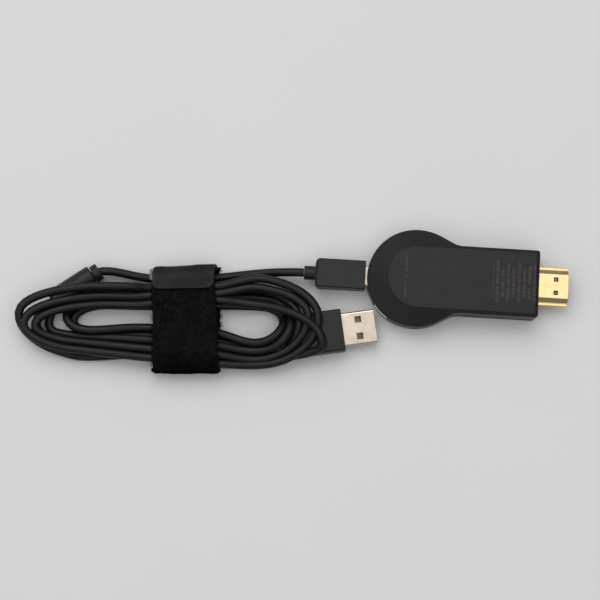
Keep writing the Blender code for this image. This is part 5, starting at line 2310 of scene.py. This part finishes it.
    def pile_roots(self, rng: np.random.Generator) -> list[tuple[Vector, Vector, Vector]]:
        """The roots of the loops: over the tape's outside, and thickly along its edges."""
        line = self.path(self.thickness)
        count = len(line)
        flat = Vector((math.cos(self.turn), math.sin(self.turn), 0.0))
        roots = []
        for index in range(self.loops):
            at_edge = index % 5 == 0
            share = rng.uniform(0.0, count)
            if index % 5 == 1:
                share = rng.uniform(0.93, 1.08) * count % count
            first, last = line[int(share)], line[(int(share) + 1) % count]
            place = first[0].lerp(last[0], share % 1.0)
            if place.x > self.tab_near and place.y > self.tab_foot:
                continue
            outwards = first[1].lerp(last[1], share % 1.0)
            side = math.copysign(1.0, rng.uniform(-1, 1))
            u = side * self.width / 2 if at_edge else rng.uniform(-1, 1) * (self.width / 2 - 0.2 * MM)
            away = outwards.x
            up = Vector((-math.sin(self.turn) * away, math.cos(self.turn) * away, outwards.y))
            if at_edge:
                place = place - outwards * rng.uniform(0.1, 0.9) * self.thickness
                up = (up * 0.5 + flat * side * 0.8).normalized()
                u -= side * 0.15 * MM
            roots.append((self.warped(u, place.x, place.y), up, flat))
        return roots

    def stem_piece(self, rng: np.random.Generator) -> bpy.types.Object:
        """The hooks' stems over the tab's top."""
        base = self.thickness + 0.1 * MM + self.tab_thickness
        length = self.tab_length()
        columns = round(self.tab_width / (0.62 * MM))
        rows = self.stems // columns
        paths = []
        for row in range(rows):
            for column in range(columns):
                reach = (row + 0.6) / rows * length
                u = ((column + 0.5 + 0.5 * (row % 2)) / columns - 0.5) * (self.tab_width - 0.8 * MM)
                past = self.tab_corner - reach
                room = self.tab_width / 2 - 0.3 * MM
                if past > 0:
                    room -= self.tab_corner - math.sqrt(self.tab_corner**2 - past**2)
                if abs(u) > room:
                    continue
                place, outwards = self.tab_line(base, reach)
                lean = rng.normal(0.0, 0.05 * MM, 2)
                stem = []
                for rise in (-0.1 * MM, 0.14 * MM, 0.26 * MM, 0.3 * MM):
                    point = place + outwards * rise
                    bent = 0.12 * MM if rise > 0.2 * MM else 0.0
                    stem.append(self.warped(u + lean[0] + bent, point.x + lean[1], point.y))
                paths.append(stem)
        lines = np.array(paths)
        radii = np.broadcast_to(np.array([0.1, 0.075, 0.075, 0.05]) * MM, lines.shape[:2])
        vertices, faces = tubes(lines, radii, 4)
        return piece_from("hook_stems", vertices, faces, HOOK_TAPE, sharp=180.0, even=False)

    def tuft_roots(self, rng: np.random.Generator) -> list[tuple[Vector, Vector, Vector]]:
        """The roots of the pale yarn that shows at the tab's left edge."""
        roots = []
        for _ in range(150):
            u = -self.width / 2 + rng.uniform(-0.3, 0.5) * MM
            y = rng.uniform(13.6, 17.3) * MM
            z = self.high + self.thickness + rng.uniform(-0.7, 0.5) * MM
            roots.append((self.warped(u, y, z), Vector((-0.6, 0.0, 0.8)), Vector((0.0, 1.0, 0.0))))
        return roots

    def build(self) -> None:
        """Builds the tape, its pile, the tab with its hooks, and the pale yarn at its edge."""
        self.body = Body.LEAD
        rng = np.random.default_rng(self.seed)
        tape = self.hang(self.tape(), Slot.STRAP, "strap_band")
        heights = (0.45 * MM, 0.95 * MM)
        pile = self.yarn("strap_pile", self.pile_roots(rng), heights, 0.05 * MM, PILE_YARN, rng)
        self.hang(pile, Slot.STRAP)
        tab = self.hang(self.tab(), Slot.HOOK_TAB, "strap_tab")
        self.hang(self.stem_piece(rng), Slot.HOOK_TAB)
        tuft = self.yarn("pale_tuft", self.tuft_roots(rng), (0.3 * MM, 0.6 * MM), 0.06 * MM, CREAM_YARN, rng)
        self.hang(tuft, Slot.STRAP)
        log.info("strap tab: %.1f mm long", self.tab_length() / MM)


def main() -> None:
    """Builds the studio, the cord and every sub-assembly, and dresses what stays packed."""
    logging.basicConfig(level=logging.INFO, format="%(message)s")
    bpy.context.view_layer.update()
    Studio().build()
    cord = PowerCord()
    cord.build()
    fittings = [SmallPlug(), ChargerPlug(), Choke(), TieStrap()]
    for assembly in (*fittings, Housing(), RimControls(), VideoPlug(), Electronics()):
        assembly.build()
        names = ", ".join(piece.name for piece in assembly.pieces)
        log.info("%s on %s: %s", type(assembly).__name__, assembly.body.value, names)
    cord.declare([piece for assembly in fittings for piece in assembly.pieces])


if __name__ == "__main__":
    main()
